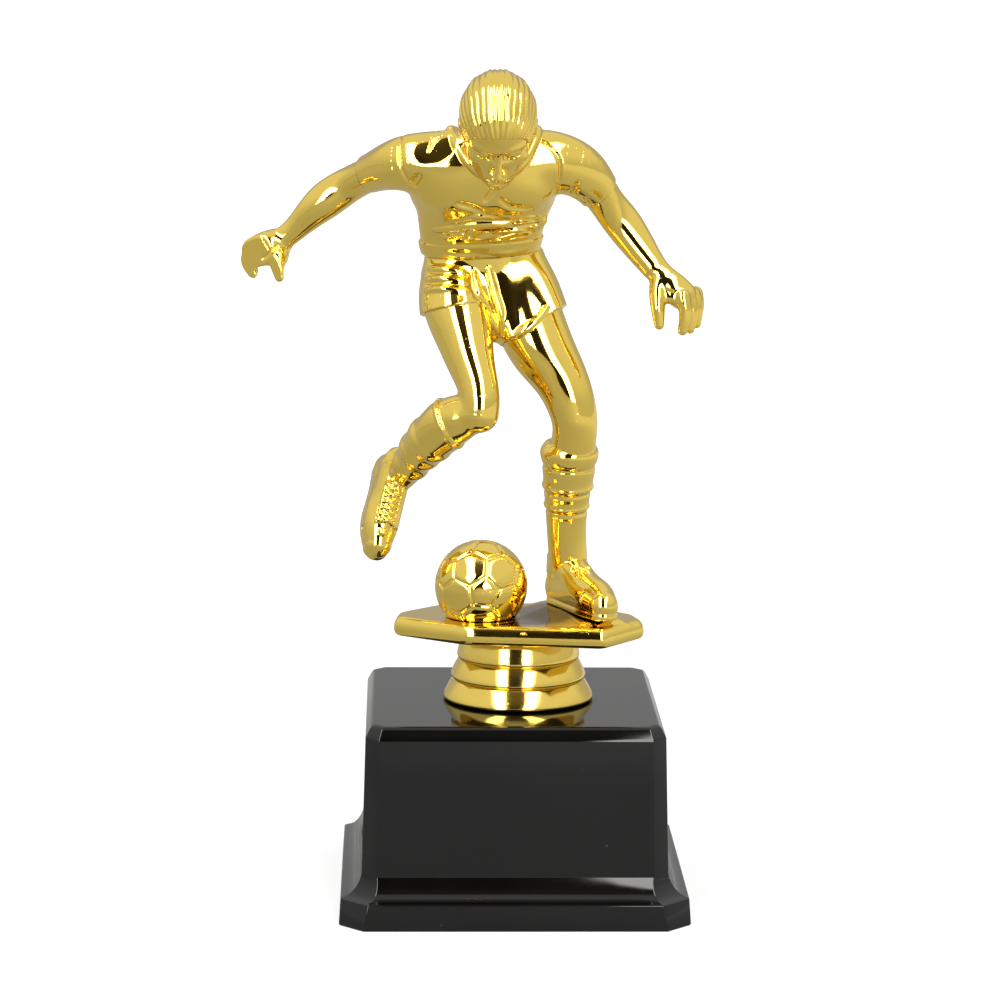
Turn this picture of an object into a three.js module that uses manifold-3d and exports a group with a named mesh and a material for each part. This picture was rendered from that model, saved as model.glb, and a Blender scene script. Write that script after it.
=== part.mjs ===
// Figure trophy: a gold plated plastic footballer on a faceted plinth plate and a stepped
// riser, bolted through a hollow black plastic base that holds a cast weight.
// Millimetres, +Z up, the figure faces -Y. The origin is the middle of the base's underside.
import * as THREE from 'three';
import { mergeVertices } from 'three/addons/utils/BufferGeometryUtils.js';
import Module from 'manifold-3d';

const wasm = await Module();
wasm.setup();

// ---- driving dimensions ----
const GAP = 0.3;                      // clearance between two pieces that touch
const BOLT_AXIS = new THREE.Vector2(1.3, -1.0);

const BASE = {
  footHalf: 40, footCorner: 5.6,
  bandHeight: 6.05, bandTopHalf: 39.6, bandTopCorner: 6.2,
  coveTop: 11.3, coveTopHalf: 35.0, coveSteps: 4,
  height: 45.6, topHalf: 34.0, bodyCorner: 3.5, bevelHeight: 2.4, bevelWidth: 1.4,
  wall: 2.2, bandWall: 3.5, topWall: 2.6, padRecess: 2.1, padRecessHalf: 37.9, padRecessCorner: 5.0,
};
const BOSS = { radius: 5.2, bottom: 26, ribThickness: 1.6 };
const PAD = { half: 37.5, corner: 4.7, thickness: 1.8 };
const WEIGHT = { half: 29, corner: 4, thickness: 12, holeRadius: 3.2 };
const BOLT = { radius: 2.35, headRadius: 4.3, headHeight: 2.8, bottom: 5.0, headSeat: 1.2 };
const BOLT_HOLE = 2.75;
const WASHER = { radius: 9, thickness: 1.2 };
const SPRING_WASHER = { radius: 4.2, thickness: 1.1, slit: 0.6 };
const NUT = { radius: 4.6, height: 3.9 };

const RISER = {
  topRadius: 13.9, tierRadii: [14.3, 15.7, 17.4], tierHeights: [5.6, 4.8, 4.6],
  neck: 0.9, neckHeight: 0.6, lip: 1.1, wall: 2.0, tubeRadius: 5.0,
};
const PLATE = { thickness: 4.6, round: 1.4, wall: 1.8, bossRadius: 8, middle: [1.5, -5] };
// Corners of the faceted plate, seen from above, anticlockwise from its left end.
const PLATE_CORNERS = [
  [-27.8, -6.5], [-11.2, -18.2], [20.3, -22], [30.2, -9.5],
  [28.5, -2], [13, 12], [-17, 10], [-27.2, 0],
];
// Low mound under the standing boot: its corners on the plate and at its top.
const MOUND = {
  height: 1.1,
  foot: [[-1.4, 5.5], [-1.2, -9.5], [7, -18.2], [17, -21], [26.5, -13], [17.5, 10.5]],
  crown: [[6.4, 7], [8.3, 0.5], [12.6, -9.5], [16.4, -18.4], [23.4, -15.6], [15.6, 8]],
};
const SOLE = MOUND.height + GAP;      // sole height above the plate's top

const BALL = { x: -7.6, y: -7, radius: 10.65, wall: 1.8, sink: 3.25, dish: 0.8 };
const SKIN = 2.0;                     // wall of the hollow figure
const PIN = { radius: 1.2, length: 3, pillar: 3, root: 2 };
const TORSO_PINS = [[-7.6, 165], [-7.4, 148]];      // x and z of the two pins in the torso
const PEG = { x: 13.7, y: -1.1, bottom: 0.5, root: 2 };   // boot peg that locates the figure
const PARTING = { west: -72, east: 54, low: 60, high: 204, cell: 6, back: 60, softness: 4 };

// Heights that follow from the stack.
const RISER_BOTTOM = BASE.height + GAP;
const RISER_TOP = RISER_BOTTOM + RISER.tierHeights.reduce((sum, h) => sum + h, 0);
const PLATE_BOTTOM = RISER_TOP + GAP;
const PLATE_TOP = PLATE_BOTTOM + PLATE.thickness;
const SOLE_Z = PLATE_TOP + SOLE;
const BALL_Z = PLATE_TOP + BALL.radius - BALL.sink;
const DISH_Z = PLATE_TOP - BALL.dish;
const WEIGHT_TOP = BOSS.bottom - GAP;
const WEIGHT_BOTTOM = WEIGHT_TOP - WEIGHT.thickness;
const WASHER_BOTTOM = WEIGHT_BOTTOM - GAP - WASHER.thickness;
const SPRING_BOTTOM = WASHER_BOTTOM - GAP - SPRING_WASHER.thickness;
const NUT_BOTTOM = SPRING_BOTTOM - GAP - NUT.height;

// The figure's joints: x, y, z and radius. "near" is the kicking leg's side of the body, "far" the
// standing leg's.
const J = {
  headTop: [-5, -32, 181.5, 7.2], headBack: [-5, -26.8, 184.6, 8.6], jaw: [-5, -25.8, 172.6, 4.4],
  neckTop: [-5.3, -21.5, 176.5, 5.2], neckBase: [-6.2, -13.5, 170.5, 6.2],
  nearShoulder: [-24.6, -12.4, 170.8, 6], nearMidArm: [-34.4, -2.6, 167.2, 4.6],
  nearElbow: [-42.6, 2.4, 162, 4.5], nearWrist: [-54.6, 4.9, 151.6, 2.9],
  nearPalm: [-59.3, 4, 149.3, 3.4], nearFinger: [-60.5, 3.2, 145, 2.4],
  nearThumb: [-54.5, 0.8, 144.7, 1.5],
  farShoulder: [11.6, -13.6, 170.6, 6.4], farMidArm: [18.6, -7.8, 164.4, 4.9],
  farElbow: [23.4, -5, 158, 4.4], farWrist: [32.6, -10.4, 146, 3],
  farPalm: [37.2, -11.6, 141.2, 3.6], farFinger: [40, -11.8, 136.6, 2.6], farThumb: [32, -14, 136.4, 1.5],
  nearHip: [-14, 1.5, 143.5, 8.2], nearHem: [-12.6, -7, 134, 8],
  nearMidThigh: [-10.5, -12.8, 126.3, 5.8], nearKnee: [-8.5, -18, 115.4, 4.5],
  nearCalf: [-15.4, -13.2, 111.8, 6.1], nearAnkle: [-26.2, 1.2, 97.8, 3.9], nearHeel: [-28.5, 7.6, 98.2, 3.7],
  nearInstep: [-29.2, 3, 93, 4.3], nearToe: [-32, -3.3, 81.5, 3.5],
  farHip: [0.4, 1.5, 143.5, 8.6], farHem: [5, -3.8, 131, 8.4], farMidThigh: [10, -6.6, 121.9, 6.6],
  farKnee: [13.6, -8.2, 111.4, 5.4], farCalf: [12.5, -4.2, 100.4, 6.2],
  farShin: [12.4, 0.2, 83, 4.7], farAnkle: [12.6, 0.9, 75, 4.4],
  farHeel: [11.7, 3.9, 71.2, 3.9], farArch: [14.7, -3, 71.4, 4.2],
  farBall: [16.7, -7.6, 70.9, 4.2], farToe: [20, -15, 70.3, 3.5],
};

// Each limb runs from one joint to the next.
const LIMBS = [
  ['neckBase', 'neckTop'], ['neckTop', 'headBack'], ['headBack', 'headTop'],
  ['headBack', 'jaw'], ['headTop', 'jaw'],
  ['neckBase', 'nearShoulder'], ['nearShoulder', 'nearMidArm'], ['nearMidArm', 'nearElbow'],
  ['nearElbow', 'nearWrist'], ['nearWrist', 'nearPalm'], ['nearPalm', 'nearFinger'],
  ['nearPalm', 'nearThumb'],
  ['neckBase', 'farShoulder'], ['farShoulder', 'farMidArm'], ['farMidArm', 'farElbow'],
  ['farElbow', 'farWrist'], ['farWrist', 'farPalm'], ['farPalm', 'farFinger'], ['farPalm', 'farThumb'],
  ['nearHip', 'nearHem'], ['nearHem', 'nearMidThigh'], ['nearMidThigh', 'nearKnee'],
  ['nearKnee', 'nearCalf'], ['nearCalf', 'nearAnkle'], ['nearAnkle', 'nearHeel'],
  ['nearAnkle', 'nearInstep'], ['nearHeel', 'nearInstep'], ['nearInstep', 'nearToe'],
  ['farHip', 'farHem'], ['farHem', 'farMidThigh'], ['farMidThigh', 'farKnee'],
  ['farKnee', 'farCalf'], ['farCalf', 'farShin'], ['farShin', 'farAnkle'], ['farAnkle', 'farHeel'],
  ['farAnkle', 'farArch'], ['farHeel', 'farArch'], ['farArch', 'farBall'], ['farBall', 'farToe'],
];
const HOLLOW_LIMBS = [['nearHip', 'nearHem'], ['farHip', 'farHem']];
const HEAD_JOINTS = ['headTop', 'headBack', 'jaw'];

// Torso from the shorts up to the neck: height, centre, half width and half depth.
const TORSO = [
  [136, -6.6, 2.2, 12.6, 8], [141, -6.6, 2, 14.6, 9.4],
  [145, -7.5, 2, 13.2, 8.4], [151.5, -8.2, -0.6, 13.5, 8.5], [157, -7.9, -4.6, 14.5, 9.4],
  [163, -7.8, -9.3, 16.4, 10.9], [167.5, -8, -12, 17.2, 10.1], [171.5, -8.1, -14, 16.6, 8.6],
  [175, -7.6, -15.2, 13, 6.4], [177.6, -7, -16, 9, 4.6],
];

// ---- materials ----
const gold = new THREE.MeshStandardMaterial({ color: 0xd9b23c, roughness: 0.12, metalness: 1 });
const blackPlastic = new THREE.MeshStandardMaterial({ color: 0x18181a, roughness: 0.15, metalness: 0 });
const castWeight = new THREE.MeshStandardMaterial({ color: 0x8a8880, roughness: 0.9, metalness: 0 });
const foam = new THREE.MeshStandardMaterial({ color: 0x202020, roughness: 0.95, metalness: 0 });
const zincSteel = new THREE.MeshStandardMaterial({ color: 0xb9bcc0, roughness: 0.35, metalness: 1 });

// ---- solids ----
const FLATTEST = 1e-4;

// Closed geometry -> solid, dropping the zero-area triangles that a lathe leaves on its axis.
function solid(geometry) {
  geometry.deleteAttribute('normal');
  geometry.deleteAttribute('uv');
  const merged = mergeVertices(geometry, FLATTEST);
  const index = Array.from(merged.index.array);
  const kept = [];
  for (let i = 0; i < index.length; i += 3) {
    const [a, b, c] = index.slice(i, i + 3);
    if (a !== b && b !== c && a !== c) kept.push(a, b, c);
  }
  return new wasm.Manifold(new wasm.Mesh({
    numProp: 3,
    vertProperties: Float32Array.from(merged.attributes.position.array),
    triVerts: Uint32Array.from(kept),
  }));
}

function part(name, body, material) {
  const data = body.getMesh();
  const geometry = new THREE.BufferGeometry();
  geometry.setAttribute('position', new THREE.BufferAttribute(data.vertProperties, 3));
  geometry.setIndex(new THREE.BufferAttribute(data.triVerts, 1));
  geometry.computeVertexNormals();
  const mesh = new THREE.Mesh(geometry, material);
  mesh.name = name;
  return mesh;
}

const sum = (bodies) => bodies.reduce((joined, body) => joined.add(body));

// Skin over rings of equal length, stacked from bottom to top, anticlockwise seen from above.
function loft(rings) {
  const count = rings[0].length;
  const points = rings.flat();
  const index = [];
  for (let r = 0; r < rings.length - 1; r++) {
    for (let i = 0; i < count; i++) {
      const a = r * count + i;
      const b = r * count + (i + 1) % count;
      index.push(a, b, b + count, a, b + count, a + count);
    }
  }
  const last = (rings.length - 1) * count;
  for (let i = 1; i < count - 1; i++) {
    index.push(0, i + 1, i, last, last + i, last + i + 1);
  }
  const geometry = new THREE.BufferGeometry().setFromPoints(points);
  geometry.setIndex(index);
  return solid(geometry);
}

// Square ring with cut corners.
function cutSquare(half, corner, z, centre = new THREE.Vector2()) {
  const inner = half - corner;
  const corners = [
    [half, -inner], [half, inner], [inner, half], [-inner, half],
    [-half, inner], [-half, -inner], [-inner, -half], [inner, -half],
  ];
  return corners.map(([x, y]) => new THREE.Vector3(centre.x + x, centre.y + y, z));
}

function ellipseRing(z, cx, cy, halfWidth, halfDepth, count = 16) {
  return Array.from({ length: count }, (_, i) => {
    const turn = i / count * Math.PI * 2;
    return new THREE.Vector3(cx + Math.cos(turn) * halfWidth, cy + Math.sin(turn) * halfDepth, z);
  });
}

// Body turned about a vertical axis; profile points are (radius, height) and run anticlockwise.
function turned(profile, centre, segments = 28) {
  const points = profile.map(([radius, height]) => new THREE.Vector2(radius, height));
  const geometry = new THREE.LatheGeometry(points, segments);
  geometry.rotateX(Math.PI / 2);
  geometry.translate(centre.x, centre.y, 0);
  return solid(geometry);
}

function rod(radius, bottom, top, centre, segments = 16) {
  return turned([[0, bottom], [radius, bottom], [radius, top], [0, top]], centre, segments);
}

function block(width, depth, height, x, y, z) {
  const geometry = new THREE.BoxGeometry(width, depth, height);
  geometry.translate(x, y, z);
  return solid(geometry);
}

// Two spheres joined by their common cone.
function limb(from, fromRadius, to, toRadius, segments = 10, arcSteps = 3) {
  const start = from.clone();
  const along = to.clone().sub(start);
  const length = along.length();
  const lean = Math.asin((fromRadius - toRadius) / length);
  const profile = [];
  for (let i = 0; i <= arcSteps; i++) {
    const angle = -Math.PI / 2 + (lean + Math.PI / 2) * i / arcSteps;
    profile.push(new THREE.Vector2(fromRadius * Math.cos(angle), fromRadius * Math.sin(angle)));
  }
  for (let i = 0; i <= arcSteps; i++) {
    const angle = lean + (Math.PI / 2 - lean) * i / arcSteps;
    profile.push(new THREE.Vector2(toRadius * Math.cos(angle), length + toRadius * Math.sin(angle)));
  }
  profile[0].x = 0;
  profile[profile.length - 1].x = 0;
  const geometry = new THREE.LatheGeometry(profile, segments);
  const up = new THREE.Vector3(0, 1, 0);
  geometry.applyQuaternion(new THREE.Quaternion().setFromUnitVectors(up, along.normalize()));
  geometry.translate(start.x, start.y, start.z);
  return solid(geometry);
}

// ---- base ----
function baseOutside() {
  const rings = [
    cutSquare(BASE.footHalf, BASE.footCorner, 0),
    cutSquare(BASE.bandTopHalf, BASE.bandTopCorner, BASE.bandHeight),
  ];
  const rise = BASE.coveTop - BASE.bandHeight;
  const run = BASE.bandTopHalf - BASE.coveTopHalf;
  for (let i = 1; i <= BASE.coveSteps; i++) {
    const angle = i / BASE.coveSteps * Math.PI / 2;
    const half = BASE.bandTopHalf - run * Math.sin(angle);
    const corner = THREE.MathUtils.lerp(BASE.bandTopCorner, BASE.bodyCorner, Math.sin(angle));
    rings.push(cutSquare(half, corner, BASE.bandHeight + rise * (1 - Math.cos(angle))));
  }
  rings.push(cutSquare(BASE.topHalf, BASE.bodyCorner, BASE.height - BASE.bevelHeight));
  rings.push(cutSquare(BASE.topHalf - BASE.bevelWidth, BASE.bodyCorner, BASE.height));
  return loft(rings);
}

function baseInside() {
  const { wall, padRecess, padRecessHalf, padRecessCorner, bodyCorner } = BASE;
  const bandHalf = BASE.bandTopHalf - BASE.bandWall;
  const bevelStart = BASE.height - Math.max(BASE.topWall, BASE.bevelHeight);
  return loft([
    cutSquare(padRecessHalf, padRecessCorner, -1),
    cutSquare(padRecessHalf, padRecessCorner, padRecess),
    cutSquare(bandHalf, padRecessCorner, padRecess),
    cutSquare(bandHalf, padRecessCorner, BASE.bandHeight),
    cutSquare(BASE.coveTopHalf - wall, bodyCorner, BASE.coveTop),
    cutSquare(BASE.topHalf - wall, bodyCorner, bevelStart),
  ]);
}

function baseShell() {
  const top = BASE.height - BASE.topWall / 2;
  const ribHeight = top - BOSS.bottom;
  const ribLength = (BASE.topHalf - BASE.wall / 2) * 2;
  const middle = BOSS.bottom + ribHeight / 2;
  const inner = sum([
    rod(BOSS.radius, BOSS.bottom, top, BOLT_AXIS),
    block(ribLength, BOSS.ribThickness, ribHeight, 0, BOLT_AXIS.y, middle),
    block(BOSS.ribThickness, ribLength, ribHeight, BOLT_AXIS.x, 0, middle),
  ]);
  const hole = rod(BOLT_HOLE, BOSS.bottom - 1, BASE.height + 1, BOLT_AXIS);
  return part('base_shell', baseOutside().subtract(baseInside()).add(inner).subtract(hole), blackPlastic);
}

function baseWeight() {
  const plate = loft([
    cutSquare(WEIGHT.half, WEIGHT.corner, WEIGHT_BOTTOM),
    cutSquare(WEIGHT.half, WEIGHT.corner, WEIGHT_TOP),
  ]);
  const hole = rod(WEIGHT.holeRadius, WEIGHT_BOTTOM - 1, WEIGHT_TOP + 1, BOLT_AXIS);
  return part('base_weight', plate.subtract(hole), castWeight);
}

function basePad() {
  const sheet = loft([cutSquare(PAD.half, PAD.corner, 0), cutSquare(PAD.half, PAD.corner, PAD.thickness)]);
  return part('base_pad', sheet, foam);
}

// ---- fasteners on the bolt axis ----
function ring(name, outer, bottom, thickness, segments) {
  const inner = BOLT.radius + GAP;
  const top = bottom + thickness;
  const profile = [[inner, bottom], [outer, bottom], [outer, top], [inner, top], [inner, bottom]];
  return part(name, turned(profile, BOLT_AXIS, segments), zincSteel);
}

const baseWasher = () => ring('base_washer', WASHER.radius, WASHER_BOTTOM, WASHER.thickness, 24);

function baseNut() {
  const top = NUT_BOTTOM + NUT.height;
  const bore = rod(BOLT.radius + GAP, NUT_BOTTOM - 1, top + 1, BOLT_AXIS);
  return part('base_nut', rod(NUT.radius, NUT_BOTTOM, top, BOLT_AXIS, 6).subtract(bore), zincSteel);
}

// Split ring with its two ends a little apart.
function springWasher() {
  const inner = BOLT.radius + GAP;
  const { radius, thickness, slit } = SPRING_WASHER;
  const whole = turned([[inner, 0], [radius, 0], [radius, thickness], [inner, thickness], [inner, 0]],
    new THREE.Vector2());
  const gap = block(radius * 2, slit, thickness * 4, radius + inner / 2, 0, 0);
  const split = whole.subtract(gap).translate([BOLT_AXIS.x, BOLT_AXIS.y, SPRING_BOTTOM]);
  return part('spring_washer', split, zincSteel);
}

function centreBolt() {
  const headBottom = PLATE_BOTTOM + BOLT.headSeat;
  const shank = rod(BOLT.radius, BOLT.bottom, headBottom + BOLT.headHeight / 2, BOLT_AXIS, 20);
  const head = rod(BOLT.headRadius, headBottom, headBottom + BOLT.headHeight, BOLT_AXIS, 6);
  return part('centre_bolt', shank.add(head), zincSteel);
}

// ---- riser ----
function riser() {
  const { neck, neckHeight, lip, wall, tubeRadius, topRadius } = RISER;
  const profile = [];
  let z = RISER_BOTTOM;
  const tiers = RISER.tierRadii.map((radius, i) => ({ radius, height: RISER.tierHeights[i] })).reverse();
  for (const { radius, height } of tiers) {
    profile.push([radius - neck, z], [radius, z + lip / 2], [radius, z + lip]);
    profile.push([radius - neck, z + height * neckHeight]);
    z += height;
    profile.push([radius - neck, z]);
  }
  const ceiling = RISER_TOP - wall;
  profile.push([BOLT_HOLE, RISER_TOP], [BOLT_HOLE, RISER_BOTTOM], [tubeRadius, RISER_BOTTOM]);
  profile.push([tubeRadius, ceiling], [topRadius - neck - wall, ceiling]);
  profile.push([tiers[0].radius - neck - wall, RISER_BOTTOM], profile[0]);
  return part('riser', turned(profile, BOLT_AXIS), gold);
}

// ---- plate ----
function plateRing(inset, z) {
  const centre = new THREE.Vector2(...PLATE.middle);
  return PLATE_CORNERS.map(([x, y]) => {
    const out = new THREE.Vector2(x, y).sub(centre);
    out.setLength(out.length() - inset);
    return new THREE.Vector3(centre.x + out.x, centre.y + out.y, z);
  });
}

// The ball's sphere, cut flat where it meets the floor of its dish.
function ballSphere(radius, floor) {
  const geometry = new THREE.SphereGeometry(radius, 20, 12);
  geometry.rotateX(Math.PI / 2);
  geometry.translate(BALL.x, BALL.y, BALL_Z);
  const size = BALL.radius * 4;
  return solid(geometry).intersect(block(size, size, size, BALL.x, BALL.y, floor + size / 2));
}

function mound() {
  const foot = MOUND.foot.map(([x, y]) => new THREE.Vector3(x, y, PLATE_TOP - PLATE.wall / 2));
  const crown = MOUND.crown.map(([x, y]) => new THREE.Vector3(x, y, PLATE_TOP + MOUND.height));
  return loft([foot, crown]);
}

function plate() {
  const { round, wall, bossRadius } = PLATE;
  const outside = loft([
    plateRing(round, PLATE_BOTTOM), plateRing(0, PLATE_BOTTOM + round),
    plateRing(0, PLATE_TOP - round), plateRing(round, PLATE_TOP),
  ]);
  const inset = wall + round / 2;
  const ceiling = PLATE_TOP - wall;
  const recess = loft([plateRing(inset, PLATE_BOTTOM - 1), plateRing(inset, ceiling)]);
  const boss = rod(bossRadius, PLATE_BOTTOM, ceiling + wall / 2, BOLT_AXIS, 32);
  const pocketBottom = PLATE_BOTTOM + BOLT.headSeat - GAP;
  const pocketTop = pocketBottom + BOLT.headHeight + GAP * 2;
  const headPocket = rod(BOLT.headRadius + GAP, pocketBottom, pocketTop, BOLT_AXIS, 6);
  const hole = rod(BOLT_HOLE, PLATE_BOTTOM - 1, pocketTop - GAP, BOLT_AXIS);
  const socket = rod(PIN.radius + GAP, PLATE_BOTTOM - 1, SOLE_Z, PEG);
  const body = outside.subtract(recess).add(boss).add(mound())
    .subtract(headPocket).subtract(hole).subtract(socket).subtract(ballSphere(BALL.radius + GAP, DISH_Z));
  return part('plinth_plate', body, gold);
}

// ---- ball ----
function ballHalves() {
  const floor = DISH_Z + GAP;
  const inside = ballSphere(BALL.radius - BALL.wall, floor + BALL.wall);
  const shell = ballSphere(BALL.radius, floor).subtract(inside);
  const size = BALL.radius * 4;
  const cutter = (side) => block(size, size, size, BALL.x, BALL.y + side * (size / 2 + GAP / 2), BALL_Z);
  return [
    part('ball_front_half', shell.intersect(cutter(-1)), gold),
    part('ball_back_half', shell.intersect(cutter(1)), gold),
  ];
}

// ---- figure ----
const middle = (name) => new THREE.Vector3(...J[name].slice(0, 3));

// Points that the parting surface passes through: the middles of the limbs, torso and skull.
function partingAnchors() {
  const anchors = [middle('headBack'), middle('neckBase')];
  for (const [from, to] of LIMBS) {
    if (HEAD_JOINTS.includes(from) || HEAD_JOINTS.includes(to)) continue;
    for (const t of [0, 0.5, 1]) anchors.push(middle(from).lerp(middle(to), t));
  }
  for (const [z, cx, cy, halfWidth] of TORSO) {
    for (const side of [-0.6, 0, 0.6]) anchors.push(new THREE.Vector3(cx + side * halfWidth, cy, z));
  }
  return anchors;
}

const anchors = partingAnchors();

// Depth of the parting surface between the two halves, where near anchors pull the most.
function partingDepth(x, z) {
  let total = 0;
  let weighted = 0;
  for (const at of anchors) {
    const pull = 1 / (((at.x - x) ** 2 + (at.z - z) ** 2 + PARTING.softness) ** 2);
    total += pull;
    weighted += pull * at.y;
  }
  return weighted / total;
}

// Everything behind the parting surface, moved back by offset.
function behindParting(offset) {
  const { west, east, low, high, cell, back } = PARTING;
  const width = east - west;
  const height = high - low;
  const geometry = new THREE.BoxGeometry(width, back, height, width / cell, 1, height / cell);
  const position = geometry.attributes.position;
  for (let i = 0; i < position.count; i++) {
    const x = position.getX(i) + (west + east) / 2;
    const z = position.getZ(i) + (low + high) / 2;
    const y = position.getY(i) < 0 ? partingDepth(x, z) + offset : back;
    position.setXYZ(i, x, y, z);
  }
  return solid(geometry);
}

// Limb between two joints, thinned all round by inset.
function jointLimb([from, to], inset = 0) {
  return limb(middle(from), J[from][3] - inset, middle(to), J[to][3] - inset);
}

function figureOutside() {
  const torso = loft(TORSO.map(([z, ...section]) => ellipseRing(z, ...section)));
  const underSole = block(60, 60, 20, PEG.x, PEG.y, SOLE_Z - 10);
  const peg = rod(PIN.radius, PLATE_BOTTOM + PEG.bottom, SOLE_Z + PEG.root, PEG, 12);
  return sum([torso, ...LIMBS.map((joints) => jointLimb(joints))]).subtract(underSole).add(peg);
}

function figureInside() {
  const torso = loft(TORSO.slice(1, -1).map(([z, cx, cy, width, depth]) => (
    ellipseRing(z, cx, cy, width - SKIN, depth - SKIN))));
  return sum([torso, ...HOLLOW_LIMBS.map((joints) => jointLimb(joints, SKIN))]);
}

// Rod along Y at a height in the torso.
function torsoRod([x, z], radius, front, back) {
  const geometry = new THREE.CylinderGeometry(radius, radius, back - front, 16);
  geometry.translate(x, (front + back) / 2, z);
  return solid(geometry);
}

function figureHalves() {
  const { radius, length, pillar, root } = PIN;
  const depth = ([x, z]) => partingDepth(x, z);
  const pillars = sum(TORSO_PINS.map((at) => torsoRod(at, pillar, -40, 20)));
  const pegs = sum(TORSO_PINS.map((at) => torsoRod(at, radius, depth(at) - root, depth(at) + length)));
  const holes = sum(TORSO_PINS.map((at) => (
    torsoRod(at, radius + GAP, depth(at) - root, depth(at) + length + GAP))));
  const body = figureOutside().subtract(figureInside().subtract(pillars));
  const front = body.subtract(behindParting(-GAP / 2)).add(pegs);
  const back = body.intersect(behindParting(GAP / 2)).subtract(holes);
  return [part('figure_front_half', front, gold), part('figure_back_half', back, gold)];
}

// ---- assembly ----
const trophy = new THREE.Group();
trophy.add(baseShell(), baseWeight(), basePad(), baseWasher(), springWasher(), baseNut());
trophy.add(centreBolt(), riser(), plate(), ...ballHalves(), ...figureHalves());

export default trophy;
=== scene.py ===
"""Figure trophy: visual model. Sculpted in millimetres, set down in metres in the CAD model's frame."""
import math
from itertools import combinations
import bpy
import numpy as np
from mathutils import Matrix, Vector, geometry


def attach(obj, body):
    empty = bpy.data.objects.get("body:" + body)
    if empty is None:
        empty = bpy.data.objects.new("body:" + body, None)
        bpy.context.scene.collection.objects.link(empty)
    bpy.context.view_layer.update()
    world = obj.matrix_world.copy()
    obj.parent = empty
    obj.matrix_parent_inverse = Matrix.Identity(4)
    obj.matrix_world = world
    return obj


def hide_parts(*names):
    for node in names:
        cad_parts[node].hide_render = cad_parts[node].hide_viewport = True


F32 = np.float32
FAR = 6.0           # distance kept where no form is near
REACH = 3.2         # how far outside its box a form's distance is still worked out
BATCH = 20000       # blocks of grid worked out at a time
PARTING_BATCH = 50000
FIGURE_CELL = 0.36
PLATE_CELL = 0.42


def vec(*v):
    return np.array(v, F32)


def unit(v):
    v = np.asarray(v, F32)
    return v / np.linalg.norm(v)


def smooth_min(a, b, k):
    h = np.maximum(k - np.abs(a - b), 0) / k
    return np.minimum(a, b) - h * h * h * (k / 6)


def smooth_max(a, b, k):
    return -smooth_min(-a, -b, k)


class Form:
    """A signed distance in millimetres, and the box that the shape lies in."""

    def __init__(self, distance, low, high):
        self.distance = distance
        self.low = np.asarray(low, F32)
        self.high = np.asarray(high, F32)


class Clay:
    """Forms added to and carved from each other in order, with a blend width for each."""

    def __init__(self):
        self.steps = []

    def add(self, form, blend=0.2):
        self.steps.append((form, blend, 1))
        return self

    def carve(self, form, blend=0.2):
        self.steps.append((form, blend, -1))
        return self

    @property
    def low(self):
        return np.min([f.low for f, _, s in self.steps if s > 0], axis=0)

    @property
    def high(self):
        return np.max([f.high for f, _, s in self.steps if s > 0], axis=0)

    def distance(self, p):
        d = np.full(len(p), FAR, F32)
        for form, blend, sign in self.steps:
            reach = REACH + blend
            near = np.all((p > form.low - reach) & (p < form.high + reach), axis=1)
            i = np.flatnonzero(near)
            if not len(i):
                continue
            e = form.distance(p[i])
            if sign > 0:
                d[i] = smooth_min(d[i], e, blend)
            else:
                d[i] = smooth_max(d[i], -e, blend)
        return d


def cone(a, ra, b, rb):
    """Two balls joined by their common cone."""
    a, b = np.asarray(a, F32), np.asarray(b, F32)
    ba = b - a
    l2 = float(ba @ ba)
    rr = ra - rb
    a2 = max(l2 - rr * rr, 1e-6)
    il2 = 1 / l2

    def distance(p):
        pa = p - a
        y = pa @ ba
        z = y - l2
        x = pa * l2 - y[:, None] * ba
        x2 = np.einsum('ij,ij->i', x, x)
        y2 = y * y * l2
        z2 = z * z * l2
        k = np.sign(rr) * rr * rr * x2
        far = np.sqrt(x2 + z2) * il2 - rb
        near = np.sqrt(x2 + y2) * il2 - ra
        side = (np.sqrt(x2 * a2 * il2) + y * rr) * il2 - ra
        return np.where(np.sign(z) * a2 * z2 > k, far,
                        np.where(np.sign(y) * a2 * y2 < k, near, side)).astype(F32)

    return Form(distance, np.minimum(a - ra, b - rb), np.maximum(a + ra, b + rb))


def egg(centre, radii, axes=None):
    centre, radii = np.asarray(centre, F32), np.asarray(radii, F32)
    turn = np.eye(3, dtype=F32) if axes is None else np.asarray(axes, F32)

    def distance(p):
        q = (p - centre) @ turn.T
        k0 = np.linalg.norm(q / radii, axis=1)
        k1 = np.linalg.norm(q / radii ** 2, axis=1)
        return (k0 * (k0 - 1) / np.maximum(k1, 1e-6)).astype(F32)

    size = np.sqrt(((turn * radii[:, None]) ** 2).sum(0))
    return Form(distance, centre - size, centre + size)


def axes_along(z_dir, x_hint):
    """Rows are the three axes of a turned local frame."""
    z = unit(z_dir)
    y = unit(np.cross(z, x_hint))
    return np.array([np.cross(y, z), y, z], F32)


def curve(points, count=24, closed=False):
    """Smooth points through a few, by Catmull and Rom's rule."""
    pts = np.asarray(points, F32)
    n = len(pts)
    spans = n if closed else n - 1
    per = max(2, count // spans)
    out = []
    for i in range(spans):
        p0, p1, p2, p3 = (pts[j % n if closed else min(max(j, 0), n - 1)] for j in range(i - 1, i + 3))
        for t in np.arange(per) / per:
            out.append(0.5 * (2 * p1 + (p2 - p0) * t + (2 * p0 - 5 * p1 + 4 * p2 - p3) * t ** 2
                              + (3 * p1 - p0 - 3 * p2 + p3) * t ** 3))
    out.append(pts[0] if closed else pts[-1])
    return np.array(out, F32)


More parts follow.
